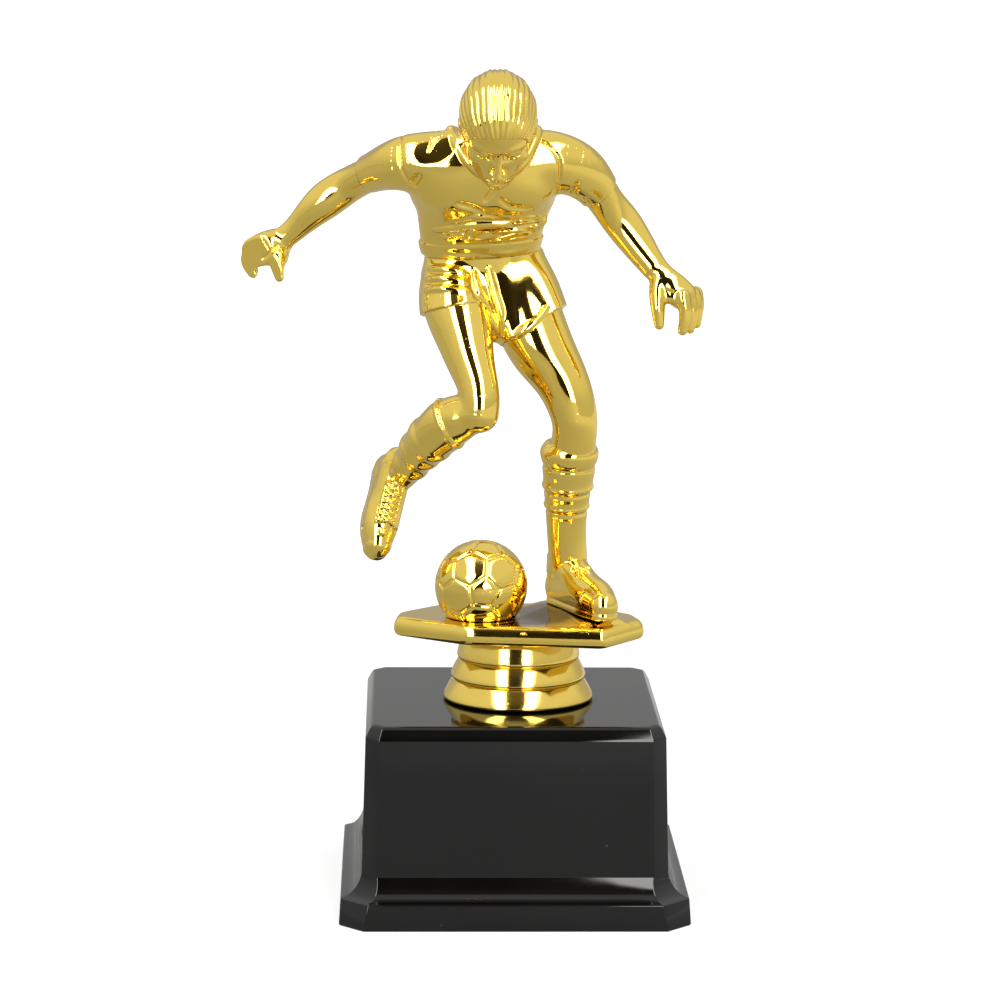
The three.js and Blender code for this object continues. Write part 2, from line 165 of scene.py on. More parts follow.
def tube(points, radius, end_radius=None, closed=False, count=24, taper=False):
    """A round cord along a smooth curve; its radius may change along it or shrink to both ends."""
    path = curve(points, count, closed)
    n = len(path) - 1
    t = np.linspace(0, 1, n + 1)
    if taper:
        radii = radius * np.sqrt(np.maximum(1 - (2 * t - 1) ** 2, 0.02))
    else:
        radii = radius + ((radius if end_radius is None else end_radius) - radius) * t
    radii = radii.astype(F32)

    def distance(p):
        best = np.full(len(p), 1e3, F32)
        for i in range(n):
            a, b = path[i], path[i + 1]
            ba = b - a
            pa = p - a
            h = np.clip(pa @ ba / max(float(ba @ ba), 1e-9), 0, 1)
            thick = radii[i] + (radii[i + 1] - radii[i]) * h
            best = np.minimum(best, np.linalg.norm(pa - h[:, None] * ba, axis=1) - thick)
        return best

    r = float(radii.max())
    return Form(distance, path.min(0) - r, path.max(0) + r)


def spline(rows):
    """A natural cubic spline through rows, against the distance along them."""
    rows = np.asarray(rows, float)
    gap = np.linalg.norm(np.diff(rows[:, :3], axis=0), axis=1)
    t = np.concatenate([[0], np.cumsum(gap)])
    n = len(rows)
    a = np.eye(n)
    b = np.zeros_like(rows)
    for i in range(1, n - 1):
        a[i, i - 1:i + 2] = gap[i - 1], 2 * (gap[i - 1] + gap[i]), gap[i]
        b[i] = 6 * ((rows[i + 1] - rows[i]) / gap[i] - (rows[i] - rows[i - 1]) / gap[i - 1])
    m = np.linalg.solve(a, b)

    def at(s):
        i = np.clip(np.searchsorted(t, s, side='right') - 1, 0, n - 2)
        h = gap[i][:, None]
        u = (t[i + 1] - s)[:, None] / h
        v = 1 - u
        a, b = rows[i], rows[i + 1]
        y = u * a + v * b + h * h / 6 * ((u ** 3 - u) * m[i] + (v ** 3 - v) * m[i + 1])
        slope = (b - a) / h + h / 6 * ((1 - 3 * u * u) * m[i] + (3 * v * v - 1) * m[i + 1])
        return y, slope

    return at, t[-1]


def limb(rows, flat=None):
    """A round limb along a smooth line through rows of x, y, z and radius.
    flat: a direction and a factor; the limb is that much thinner along the direction."""
    at, length = spline(rows)
    spacing = 1.2
    s = np.linspace(0, length, max(12, int(length / spacing)) + 1)
    knots = at(s)[0]
    path = knots[:, :3].astype(F32)
    r = float(knots[:, 3].max())
    if flat is not None:
        across = unit(flat[0])
        more = F32(flat[1] - 1)

    def distance(p):
        if not len(p):
            return np.zeros(0, F32)
        best = np.full(len(p), 1e9, F32)
        which = np.zeros(len(p), int)
        for i, spot in enumerate(path):
            q = p - spot
            d = np.einsum('ij,ij->i', q, q)
            nearer = d < best
            best[nearer] = d[nearer]
            which[nearer] = i
        t = s[which]
        for _ in range(3):
            y, slope = at(t)
            q = p - y[:, :3]
            t = np.clip(t + (q * slope[:, :3]).sum(1) / (slope[:, :3] ** 2).sum(1), 0, length)
        y, slope = at(t)
        q = p - y[:, :3]
        if flat is not None:
            q = q + more * (q @ across)[:, None] * across
        return (np.linalg.norm(q, axis=1) - y[:, 3]).astype(F32)

    return Form(distance, path.min(0) - r, path.max(0) + r)


def cut(form, point, normal, blend=0.2):
    """The part of a form on the side that the normal points away from."""
    point, normal = np.asarray(point, F32), unit(normal)
    return Form(lambda p: smooth_max(form.distance(p), (p - point) @ normal, blend), form.low, form.high)


def offset(form, grow):
    return Form(lambda p: form.distance(p) - F32(grow), form.low - grow, form.high + grow)


def slab(form, point, normal, half, blend=0.2):
    """The slice of a form within half a thickness of a plane."""
    point, normal = np.asarray(point, F32), unit(normal)
    return Form(lambda p: smooth_max(form.distance(p), np.abs((p - point) @ normal) - half, blend),
                form.low, form.high)


def placed(form, origin, axes, scale=1.0):
    """A form modelled in its own frame, set down with its origin and axes in the figure's."""
    origin, axes = np.asarray(origin, F32), np.asarray(axes, F32)
    scale = F32(scale)

    def distance(p):
        return form.distance((p - origin) @ axes.T / scale) * scale

    corners = np.array([[x, y, z] for x in (form.low[0], form.high[0])
                        for y in (form.low[1], form.high[1])
                        for z in (form.low[2], form.high[2])], F32) @ axes * scale + origin
    return Form(distance, corners.min(0), corners.max(0))


def loft(sections):
    """Level sections from bottom to top: height, centre x, centre y, half width, half depth."""
    power = 2.3         # 2 would be an ellipse
    shrink = 0.85       # keeps the distance from being overstated on the long sides
    rows = np.asarray(sections, float)
    fine = curve(rows, 60 * (len(rows) - 1))
    order = np.argsort(fine[:, 0])
    z, cx, cy, a, b = (fine[order, i] for i in range(5))

    def distance(p):
        h = np.clip(p[:, 2], z[0], z[-1])
        ax, ay = np.interp(h, z, cx), np.interp(h, z, cy)
        wa, wb = np.interp(h, z, a), np.interp(h, z, b)
        u, v = np.abs((p[:, 0] - ax) / wa), np.abs((p[:, 1] - ay) / wb)
        rho = (u ** power + v ** power) ** (1 / power)
        side = (rho - 1) * np.minimum(wa, wb) * shrink
        cap = np.maximum(z[0] - p[:, 2], p[:, 2] - z[-1])
        return smooth_max(side, cap, 1.0).astype(F32)

    low = [(cx - a).min(), (cy - b).min(), z[0]]
    high = [(cx + a).max(), (cy + b).max(), z[-1]]
    return Form(distance, low, high)


# ---------------- meshing ----------------
def fine_grid(clay, low, high, cell, coarse=4):
    """Distances on a regular grid, worked out only near the surface."""
    low, high = np.asarray(low, F32), np.asarray(high, F32)
    big = cell * coarse
    blocks = np.ceil((high - low) / big).astype(int)
    axes = [low[i] + (np.arange(blocks[i]) + 0.5) * big for i in range(3)]
    centres = np.stack(np.meshgrid(*axes, indexing='ij'), -1).reshape(-1, 3).astype(F32)
    rough = clay.distance(centres).reshape(blocks)
    reach = big * 1.35 + cell
    grid = np.repeat(np.repeat(np.repeat(rough, coarse, 0), coarse, 1), coarse, 2)
    active = np.argwhere(np.abs(rough) < reach)
    step = (np.arange(coarse) + 0.5) * cell
    local = np.stack(np.meshgrid(step, step, step, indexing='ij'), -1).reshape(-1, 3)
    index = np.stack(np.meshgrid(*[np.arange(coarse)] * 3, indexing='ij'), -1).reshape(-1, 3)
    for start in range(0, len(active), BATCH):
        part = active[start:start + BATCH]
        points = (low + part[:, None, :] * big + local[None]).reshape(-1, 3).astype(F32)
        where = (part[:, None, :] * coarse + index[None]).reshape(-1, 3)
        grid[where[:, 0], where[:, 1], where[:, 2]] = clay.distance(points)
    return grid, low + cell / 2


def surface_nets(grid, start, cell):
    """Quads through the sign changes of a grid: one vertex for each cell that the surface crosses."""
    inside = grid < 0
    n = np.array(grid.shape)
    corners = [(i, j, k) for i in (0, 1) for j in (0, 1) for k in (0, 1)]
    view = [inside[i:n[0] - 1 + i, j:n[1] - 1 + j, k:n[2] - 1 + k] for i, j, k in corners]
    some = view[0].copy()
    every = view[0].copy()
    for v in view[1:]:
        some |= v
        every &= v
    cells = np.argwhere(some & ~every)
    number = np.full(n - 1, -1, np.int32)
    number[cells[:, 0], cells[:, 1], cells[:, 2]] = np.arange(len(cells))
    value = np.stack([grid[cells[:, 0] + i, cells[:, 1] + j, cells[:, 2] + k] for i, j, k in corners], 1)
    total = np.zeros((len(cells), 3), F32)
    count = np.zeros(len(cells), F32)
    for a in range(8):
        for axis in range(3):
            if corners[a][axis]:
                continue
            other = list(corners[a])
            other[axis] = 1
            b = corners.index(tuple(other))
            va, vb = value[:, a], value[:, b]
            crosses = (va < 0) != (vb < 0)
            t = np.where(crosses, va / np.where(crosses, va - vb, 1), 0)
            spot = np.array(corners[a], F32)[None] + t[:, None] * np.eye(3, dtype=F32)[axis]
            total += np.where(crosses[:, None], spot, 0)
            count += crosses
    vertices = start + (cells + total / count[:, None]) * cell
    quads = []
    for axis in range(3):
        u, v = (axis + 1) % 3, (axis + 2) % 3
        lower = [slice(0, s) for s in n]
        lower[axis] = slice(0, n[axis] - 1)
        upper = list(lower)
        upper[axis] = slice(1, n[axis])
        a, b = inside[tuple(lower)], inside[tuple(upper)]
        edge = np.argwhere(a != b)
        spots = edge[:, [u, v]]
        edge = edge[np.all((spots > 0) & (spots < n[[u, v]] - 1), axis=1)]
        flip = b[edge[:, 0], edge[:, 1], edge[:, 2]]
        ring = []
        for du, dv in ((-1, -1), (0, -1), (0, 0), (-1, 0)):
            c = edge.copy()
            c[:, u] += du
            c[:, v] += dv
            ring.append(number[c[:, 0], c[:, 1], c[:, 2]])
        ring = np.stack(ring, 1)
        ring[flip] = ring[flip][:, ::-1]
        quads.append(ring)
    return vertices.astype(F32), np.concatenate(quads)


def gradient(clay, p, d, step=0.06):
    g = np.empty_like(p)
    for axis in range(3):
        q = p.copy()
        q[:, axis] += step
        g[:, axis] = (clay.distance(q) - d) / step
    return g


def nudge(clay, p, least, most):
    """Moves points one step towards the surface."""
    d = clay.distance(p)
    g = gradient(clay, p, d)
    size = np.maximum((g * g).sum(1), least)
    return p - g * np.clip(d / size, -most, most)[:, None]


def settle(clay, p, limit):
    """Moves points onto the surface, none of them further than the limit."""
    start = p
    for _ in range(3):
        p = nudge(clay, p, 0.05, 0.3)
    away = p - start
    far = np.linalg.norm(away, axis=1)
    held = start + away * (limit / np.maximum(far, 1e-9))[:, None]
    return np.where((far > limit)[:, None], held, p).astype(F32)


def relax(p, quads):
    """Slides points towards the middle of their neighbours, to even out the quads."""
    for _ in range(2):
        total = np.zeros_like(p)
        count = np.zeros(len(p), F32)
        for i in range(4):
            a, b = quads[:, i], quads[:, (i + 1) % 4]
            for one, other in ((a, b), (b, a)):
                np.add.at(total, one, p[other])
                np.add.at(count, one, 1)
        p = p + (total / count[:, None] - p) * 0.5
    return p


def mesh_clay(clay, cell, margin=2.0):
    grid, start = fine_grid(clay, clay.low - margin, clay.high + margin, cell)
    p, quads = surface_nets(grid, start, cell)
    return settle(clay, relax(p, quads), cell), quads


SOLE_Z = 67.2       # height of the standing boot's sole

# Limbs of the skin, from the body outwards: x, y, z and radius.
# "near" is the kicking leg's side and "far" the standing leg's.
NEAR_ARM = [(-24.6, -12.4, 170.8, 5.0), (-29.8, -7.9, 169.5, 4.5), (-34.4, -2.6, 167.2, 4.0),
            (-39.0, 1.8, 164.4, 4.15), (-43.4, 2.6, 161.3, 4.3), (-46.65, 3.0, 158.5, 3.75),
            (-49.3, 3.8, 155.8, 3.1), (-52.75, 4.6, 152.7, 2.7), (-54.9, 5.0, 151.3, 2.8)]
FAR_ARM = [(11.6, -13.6, 170.6, 5.4), (15.4, -10.8, 168.0, 4.8), (18.6, -7.8, 164.4, 4.3),
           (21.2, -5.8, 160.8, 4.15), (23.4, -5.0, 158.0, 4.3), (26.8, -6.0, 153.4, 4.0),
           (29.4, -8.0, 149.9, 3.4), (31.9, -10.0, 146.8, 2.9), (33.4, -10.8, 145.2, 2.8)]
NEAR_THIGH = [(-14.0, 1.5, 143.5, 7.8), (-13.4, -4.6, 137.5, 7.7), (-11.9, -9.2, 131.5, 6.65),
              (-10.5, -12.8, 126.3, 5.55), (-9.0, -16.0, 121.5, 4.75), (-8.3, -18.0, 117.4, 4.4),
              (-8.4, -18.4, 114.9, 4.2)]
FAR_THIGH = [(0.4, 1.5, 143.5, 8.2), (3.6, -2.8, 133.2, 8.0), (6.3, -4.8, 127.7, 7.5),
             (10.0, -6.6, 121.9, 6.4), (12.6, -8.0, 116.0, 5.65), (13.6, -8.0, 110.9, 5.2),
             (13.1, -6.6, 105.0, 5.2)]
NEAR_SHIN = [(-8.6, -17.2, 115.2, 4.2), (-11.8, -15.8, 114.0, 5.4), (-15.0, -13.6, 112.2, 6.0),
             (-18.0, -10.6, 109.2, 5.65), (-20.6, -7.6, 106.3, 5.2), (-22.7, -4.4, 103.0, 4.45),
             (-24.6, -1.6, 99.9, 3.85), (-26.2, 1.2, 97.6, 3.6)]
FAR_SHIN = [(13.2, -6.6, 108.5, 5.0), (12.6, -5.4, 104.2, 6.0), (12.5, -4.4, 100.6, 6.1),
            (12.3, -3.0, 95.7, 5.55), (12.2, -1.0, 89.0, 4.8), (12.4, 0.2, 83.1, 4.55),
            (12.8, 0.8, 77.5, 4.5)]
HEAD = vec(-5.0, -27.6, 180.0)
HEAD_PITCH = 47
NECK = [(-6.2, -13.5, 170.5, 6.2), (-5.8, -17.5, 173.5, 5.6), (-5.3, -21.5, 176.5, 5.2)]


def legs():
    c = Clay()
    c.add(limb(NEAR_THIGH))
    c.add(thicker(NEAR_SHIN[:4], -0.3), 2.2)
    c.add(limb(FAR_THIGH))
    c.add(egg((13.6, -9.0, 112.2), (4.2, 4.2, 4.6)), 1.8)
    return c


def arms():
    c = Clay()
    c.add(limb(NEAR_ARM))
    c.add(limb(FAR_ARM))
    c.add(limb([(23.6, -6.6, 156.4, 2.2), (27.2, -8.2, 151.6, 2.6), (30.6, -10.4, 147.4, 2.3)]), 1.4)
    return c


def fingers(c, knuckles, middles, tips, radii):
    for k, m, t in zip(knuckles, middles, tips):
        c.add(limb([(*k, radii[0]), (*m, radii[1]), (*t, radii[2])]), 0.55)


def near_hand():
    """Fingers closed together like a mitten, thumb hanging on its own."""
    c = Clay()
    back = [(-53.6, -3.9, 152.8, 2.8), (-56.6, -4.6, 151.7, 3.4), (-59.4, -5.0, 150.4, 3.3)]
    c.add(limb(back, ((-0.3, 0, 1), 1.05)))
    fingers(c, [(-60.0 + 0.15 * i, -8.4 + 2.1 * i, 150.9 - 0.1 * i) for i in range(4)],
            [(-61.3 + 0.1 * i, -8.6 + 2.0 * i, 148.2) for i in range(4)],
            [(-60.3 + 0.1 * i, -8.4 + 1.9 * i, 144.5 + 0.3 * i) for i in range(4)], (1.9, 1.75, 1.15))
    c.add(limb([(-53.2, -3.4, 151.4, 2.0), (-54.0, -6.4, 149.2, 2.0), (-54.3, -8.0, 146.9, 1.6),
                (-53.9, -8.6, 144.6, 1.1)]), 1.6)
    c.add(limb([(-54.2, -6.2, 148.9, 1.95), (-56.8, -6.6, 149.1, 1.7), (-59.6, -7.2, 148.2, 1.9)]), 2.0)
    c.add(limb([(-53.4, -4.6, 152.5, 1.9), (-56.8, -6.0, 151.8, 1.9), (-59.8, -6.8, 150.7, 1.9)]), 2.0)
    c.add(egg((-57.0, -5.6, 150.0), (4.2, 3.4, 2.9)), 1.2)
    # the palm side is pressed flat, facing forwards and to the near side
    palm = vec(-0.454, -0.891, 0.0)
    c.carve(cut(egg((-57.5, -9.5, 149.0), (8, 6, 8)), (-54.3, -9.0, 149.0), -palm, 0.3), 0.8)
    web_crease = on_surface(c, [(-59.0, -9.5, 148.6), (-56.6, -9.5, 150.2), (-54.2, -8.0, 151.8)])
    c.carve(tube(web_crease, 0.45, taper=True), 0.5)
    return c


def far_hand():
    c = Clay()
    back = [(32.9, -10.4, 145.6, 2.8), (35.4, -11.4, 143.2, 3.4), (37.4, -11.4, 141.4, 3.4)]
    c.add(limb(back, ((0.5, -0.9, 0), 1.08)))
    fingers(c, [(37.4, -14.0, 141.4), (38.8, -12.2, 141.4), (40.0, -10.3, 141.4), (40.8, -8.6, 141.4)],
            [(38.0, -14.6, 137.6), (39.8, -12.8, 137.6), (41.0, -10.9, 138.2), (41.4, -9.0, 138.6)],
            [(37.5, -14.5, 133.6), (39.3, -12.9, 133.8), (40.8, -11.0, 134.8), (41.2, -9.2, 136.4)],
            (1.7, 1.4, 1.15))
    c.add(limb([(32.4, -11.4, 145.0, 2.3), (31.8, -13.0, 141.6, 1.9), (31.9, -14.0, 138.3, 1.6),
                (32.2, -14.4, 134.9, 1.15)]), 1.3)
    c.add(limb([(33.2, -13.0, 141.0, 1.5), (35.0, -13.4, 140.8, 1.3), (37.0, -13.8, 139.8, 1.3)]), 1.4)
    return c


# ---------------- head, in its own frame: x across, y out of the face, z to the crown ----------------
FINE_STRANDS, LOCKS = 52, 17


def hair():
    """Short hair combed back from the brow in fine strands and wider locks."""
    shell = egg((0, -1.5, 3.2), (8.75, 10.5, 9.4))

    def combed(p):
        turn = np.arctan2(p[:, 0], p[:, 2] + 1.5)
        sway = 0.012 * np.sin(0.5 * p[:, 1] + 4 * turn) + 0.006 * np.sin(1.1 * p[:, 1] - 9 * turn)
        fine = 0.5 + 0.5 * np.cos(FINE_STRANDS * (turn + sway))
        locks = 0.5 + 0.5 * np.cos(LOCKS * (turn + 1.6 * sway))
        return (shell.distance(p) + 0.2 * fine ** 1.5 + 0.2 * locks).astype(F32)

    c = Clay()
    c.add(Form(combed, shell.low, shell.high))
    c.carve(egg((0, 12.6, -3.9), (20, 9.6, 11.5)), 0.25)
    c.carve(cut(egg((0, 5, -12), (14, 12, 13)), (0, 2.2, -2.6), (0, -1, 0.55), 0.3), 0.3)
    c.carve(cut(egg((0, -6, -16), (16, 20, 14)), (0, -9, -6.6), (0, -0.35, 1), 0.3), 0.3)
    return c


def ear(side):
    c = Clay()
    centre = vec(side * 7.4, -0.7, -1.7)
    tilt = axes_along(vec(side * 0.25, -0.3, 1), vec(0, 1, 0))
    c.add(egg(centre, (1.9, 1.0, 2.9), tilt))
    c.add(tube([centre + vec(side * 0.7, 1.3, 0.9), centre + vec(side * 0.9, 0.6, 2.7),
                centre + vec(side * 1.0, -1.3, 2.3), centre + vec(side * 0.9, -1.8, 0.0),
                centre + vec(side * 0.5, -0.6, -2.5)], 0.5), 0.25)
    c.carve(egg(centre + vec(side * 1.3, 0.2, 0.0), (1.0, 0.6, 1.3), tilt), 0.4)
    return c


def mirrored(*half):
    """Points from one side to the middle, and on to the other side."""
    return list(half) + [(-x, y, z) for x, y, z in half[-2::-1]]


def eye(side):
    c = Clay()
    centre = vec(side * 3.05, 6.0, -0.2)
    c.add(egg(centre, (1.75, 1.75, 1.6)))
    lid = egg(centre, (2.15, 2.05, 1.95))
    c.add(cut(lid, centre + vec(0, 0, 0.45), (0, 0.25, -1), 0.15), 0.12)
    c.add(cut(lid, centre + vec(0, 0, -0.75), (0, 0.1, 1), 0.15), 0.12)
    return c


def head():
    c = Clay()
    c.add(egg((0, -1.4, 3.0), (7.9, 9.7, 8.8)))
    c.add(egg((0, 2.6, -3.2), (6.5, 6.0, 8.0)), 2.5)
    c.add(cone((0, 0.6, -4.4), 5.9, (0, 5.0, -9.2), 2.9), 2.5)
    c.add(egg((0, 6.6, -10.4), (2.5, 1.8, 1.9)), 1.8)
    for side in (-1, 1):
        c.add(cone((side * 5.0, -1.0, -4.6), 2.2, (side * 2.4, 5.0, -9.6), 1.6), 2.2)
        c.add(egg((side * 4.4, 4.9, -2.4), (2.3, 2.2, 1.7)), 2.2)
    c.add(tube(mirrored((-5.0, 5.6, 1.5), (-2.6, 7.5, 2.0), (0, 7.7, 1.6)), 0.85), 1.6)
    for side in (-1, 1):
        c.carve(egg((side * 3.05, 8.3, -0.2), (2.3, 1.7, 1.45)), 1.5)
        c.add(eye(side), 0.35)
    c.add(cone((0, 7.0, 0.9), 0.75, (0, 10.2, -4.4), 0.95), 1.1)
    c.add(egg((0, 10.2, -4.5), (1.15, 1.1, 1.0)), 0.6)
    for side in (-1, 1):
        c.add(egg((side * 1.25, 8.9, -4.75), (0.8, 1.1, 0.75)), 0.45)
        c.carve(egg((side * 0.62, 9.7, -5.5), (0.32, 0.5, 0.3)), 0.2)
    c.add(egg((0, 6.7, -7.4), (3.4, 2.2, 2.6)), 1.6)
    c.add(tube(mirrored((-2.5, 7.5, -7.5), (-0.9, 8.85, -7.1), (0, 8.8, -7.25)), 0.5), 0.5)
    c.add(tube(mirrored((-2.1, 7.5, -7.9), (0, 8.6, -8.35)), 0.6), 0.5)
    c.carve(tube(mirrored((-2.6, 7.9, -7.6), (-1.2, 9.0, -7.68), (0, 9.25, -7.75)), 0.16), 0.3)
    c.carve(egg((0, 8.7, -9.35), (1.9, 0.8, 0.5)), 0.9)
    c.carve(tube([(0, 9.7, -6.3), (0, 9.1, -6.9)], 0.25), 0.5)
    for side in (-1, 1):
        c.add(ear(side), 0.5)
    c.add(hair(), 0.15)
    return c


def head_axes():
    """The head looks down at the ball, by HEAD_PITCH degrees."""
    s, k = np.sin(np.radians(HEAD_PITCH)), np.cos(np.radians(HEAD_PITCH))
    return np.array([(1, 0, 0), (0, -k, -s), (0, -s, k)], F32)


# ---------------- jersey ----------------
TORSO_ROWS = [
    (145.0, -7.5, 2.0, 13.2, 8.4), (149.0, -7.9, 0.9, 13.25, 8.5), (151.5, -8.2, -0.6, 13.5, 8.5),
    (154.0, -8.1, -2.3, 13.95, 8.7), (157.0, -7.9, -4.6, 14.5, 9.4), (160.0, -7.7, -7.1, 15.2, 10.5),
    (163.0, -7.8, -9.3, 16.4, 10.9), (167.5, -8.0, -12.0, 17.2, 10.1), (171.5, -8.1, -14.0, 16.6, 8.6),
    (175.0, -7.6, -15.2, 13.0, 6.4), (177.6, -7.0, -16.0, 9.0, 4.6),
]


def torso():
    return loft(TORSO_ROWS)


def on_surface(clay, points):
    """The places on the surface that are nearest to points set down roughly."""
    p = np.array(points, F32)
    for _ in range(12):
        p = nudge(clay, p, 0.1, 1.5)
    return p


# points on the cloth, and half the width of the ridge or valley through them
BELLY_FOLDS = [
    ([(-16.5, -8, 158.2), (-13, -10, 160.0), (-8, -12, 160.9), (-2, -12, 160.3), (4.2, -10, 160.2)], 1.15),
    ([(-15.4, -8, 155.4), (-13.8, -10, 157.4), (-11.4, -11, 158.8), (-12.4, -10, 156.6),
      (-10.4, -10, 154.6)], 1.0),
    ([(-9.6, -11, 159.0), (-4.6, -11, 159.0), (0.2, -11, 158.6), (-4.2, -11, 156.9),
      (-8.8, -10, 154.8)], 1.15),
    ([(4.6, -10, 159.8), (4.8, -10, 157.4), (2.8, -10, 155.0)], 1.1),
    ([(-6.4, -10, 154.2), (-2.0, -10, 155.6), (2.0, -9, 154.8)], 1.0),
    ([(-13.6, -12, 160.6), (-9.4, -14, 162.2), (-5.0, -14, 161.7)], 0.6),
    ([(-4.2, -14, 162.4), (0.4, -13, 161.9), (3.8, -12, 159.8)], 0.6),
    ([(-11.2, -12, 157.4), (-7.2, -13, 159.2), (-2.4, -13, 160.4)], 0.55),
    ([(-2.0, -12, 158.4), (1.6, -12, 158.0), (3.6, -11, 156.6)], 0.55),
    ([(-17.6, -8, 149.5), (-13.0, -9, 149.0), (-8.6, -9, 149.5)], 0.6),
    ([(-6.4, -9, 150.4), (-1.6, -9, 150.0), (3.0, -8, 150.6)], 0.6),
]
CHEST_LINES = [
    ([(-5.4, -22, 168.0), (-5.9, -21, 165.6), (-7.6, -20, 163.4)], 0.7),
    ([(-13.4, -18, 163.8), (-10.8, -18, 162.8), (-8.4, -17, 161.6)], 0.7),
    ([(-3.8, -19, 164.4), (-1.6, -18, 163.0), (2.6, -17, 162.4)], 0.6),
]
BELLY_VALLEYS = [
    ([(-15.2, -9, 157.0), (-12.0, -11, 159.2), (-7, -12, 159.9), (-1.0, -12, 159.5), (3.0, -10, 159.0)], 0.8),
    ([(-9.4, -10, 157.4), (-6.4, -11, 157.4), (-3.4, -11, 157.9)], 0.75),
    ([(-4.8, -10, 155.8), (-0.6, -10, 157.0), (2.6, -9, 156.6)], 0.75),
    ([(-12.0, -10, 155.0), (-11.0, -11, 157.0), (-10.4, -11, 158.4)], 0.7),
    ([(-11.0, -13, 161.4), (-7.6, -13, 160.9), (-6.2, -13, 159.6)], 0.6),
    ([(-3.4, -13, 161.2), (-0.4, -13, 160.6), (2.4, -12, 160.9)], 0.6),
]
ARMHOLES = [
    ([(-25.6, -11, 177.4), (-26.3, -16, 175.4), (-26.0, -18, 171.0), (-24.6, -18, 167.4),
      (-22.6, -16, 164.6)], 0.3),
    ([(2.4, -18, 178.2), (6.0, -19, 175.6), (8.6, -19, 172.6), (8.9, -18, 168.4), (8.4, -16, 164.6)], 0.3),
]
SHOULDER_CREASES = [
    ([(-19.9, -18, 178.0), (-19.4, -18, 175.8), (-20.2, -18, 173.4)], 0.3),
    ([(-17.4, -18, 178.4), (-18.6, -18, 176.6), (-19.4, -18, 175.4)], 0.3),
]
ARMPIT_CREASES = [
    ([(-21.6, -18, 169.6), (-22.6, -18, 168.6), (-23.2, -17, 167.2)], 0.9),
    ([(12.6, -16, 168.8), (12.4, -15, 166.4), (13.6, -13, 163.6)], 0.7),
    ([(14.4, -13, 165.6), (15.6, -12, 163.4), (17.6, -10, 161.2)], 0.6),
]
COLLAR = [(-15.4, -14.6, 178), (-14.0, -18.6, 175.6), (-11.6, -21.6, 172.2), (-8.6, -23.2, 169.6),
          (-5.4, -23.8, 168.5), (-2.2, -23.2, 169.5), (1.0, -21.2, 172.4), (3.2, -18.2, 175.6),
          (4.2, -14.6, 178), (1.5, -10.5, 179.2), (-5.6, -8.5, 179.6), (-12.8, -10.5, 179.2)]
HEM_TILT = (-0.06, -0.135, 1.0)
NEAR_SLEEVE = [(-8, -13.6, 171.4, 6.7), (-14, -13.8, 171.6, 6.9), (-20, -13.6, 171.5, 6.75),
               (-24.2, -12.8, 171.2, 6.4), (-29.8, -7.9, 169.6, 5.2), (-33.6, -3.4, 167.8, 4.45),
               (-37, 0, 166.2, 4.2)]
FAR_SLEEVE = [(-6, -13.6, 171.4, 6.7), (0, -13.8, 171.8, 6.9), (6.6, -13.8, 171.8, 6.9),
              (11.4, -13.0, 170.6, 6.5), (15.2, -10.8, 168.2, 5.8), (18.1, -8.2, 165.0, 4.95),
              (21.0, -6.2, 161.2, 4.7)]


def sleeve(rows, hem, axis):
    return cut(limb(rows), hem, axis, 0.35)


def ridges(c, lines, blend, scale=1.0):
    """Cords that taper to both ends, laid on the surface."""
    for points, width in lines:
        c.add(tube(on_surface(c, points), width * scale, taper=True), blend)


def valleys(c, lines, blend, scale=1.0):
    for points, width in lines:
        c.carve(tube(on_surface(c, points), width * scale, taper=True), blend)


def jersey():
    c = Clay()
    c.add(torso())
    c.add(egg((-14.4, -16.2, 166.4), (7.4, 4.4, 5.6)), 4)
    c.add(egg((-0.2, -16.4, 166.6), (7.4, 4.4, 5.6)), 4)
    c.add(sleeve(NEAR_SLEEVE, (-33.6, -3.2, 167.8), (-0.74, 0.58, -0.34)), 2.5)
    c.add(sleeve(FAR_SLEEVE, (18.4, -8.0, 164.6), (0.6, 0.42, -0.7)), 2.5)
    ridges(c, BELLY_FOLDS, 1.1, 1.1)
    valleys(c, BELLY_VALLEYS, 0.7, 1.2)
    # the cloth is drawn flat over the front of the near shoulder
    flat = vec(-0.04, -0.913, 0.407)
    spot = on_surface(c, [(-19.5, -18, 174.6)])[0]
    c.carve(cut(egg((-19.6, -17.6, 175.0), (6.2, 5.0, 4.2)), spot - flat * 0.45, -flat, 0.3), 1.0)
    valleys(c, SHOULDER_CREASES, 0.5)
    valleys(c, CHEST_LINES, 1.6)
    valleys(c, ARMHOLES, 0.8)
    valleys(c, ARMPIT_CREASES, 0.9)
    # the neck opening, the collar round it and the band along the hem
    c.carve(egg((-5.6, -20.4, 175.9), (5.6, 4.2, 5.0)), 1.5)
    c.add(tube(on_surface(c, COLLAR), 1.05, closed=True, count=72), 0.45)
    c.add(slab(offset(torso(), 0.32), (-8, -6, 150.9), HEM_TILT, 2.0, 1.2), 0.4)
    c.carve(slab(offset(torso(), 3), (-8, 0, 148.9), HEM_TILT, 1.15, 0.3), 0.35)
    return c


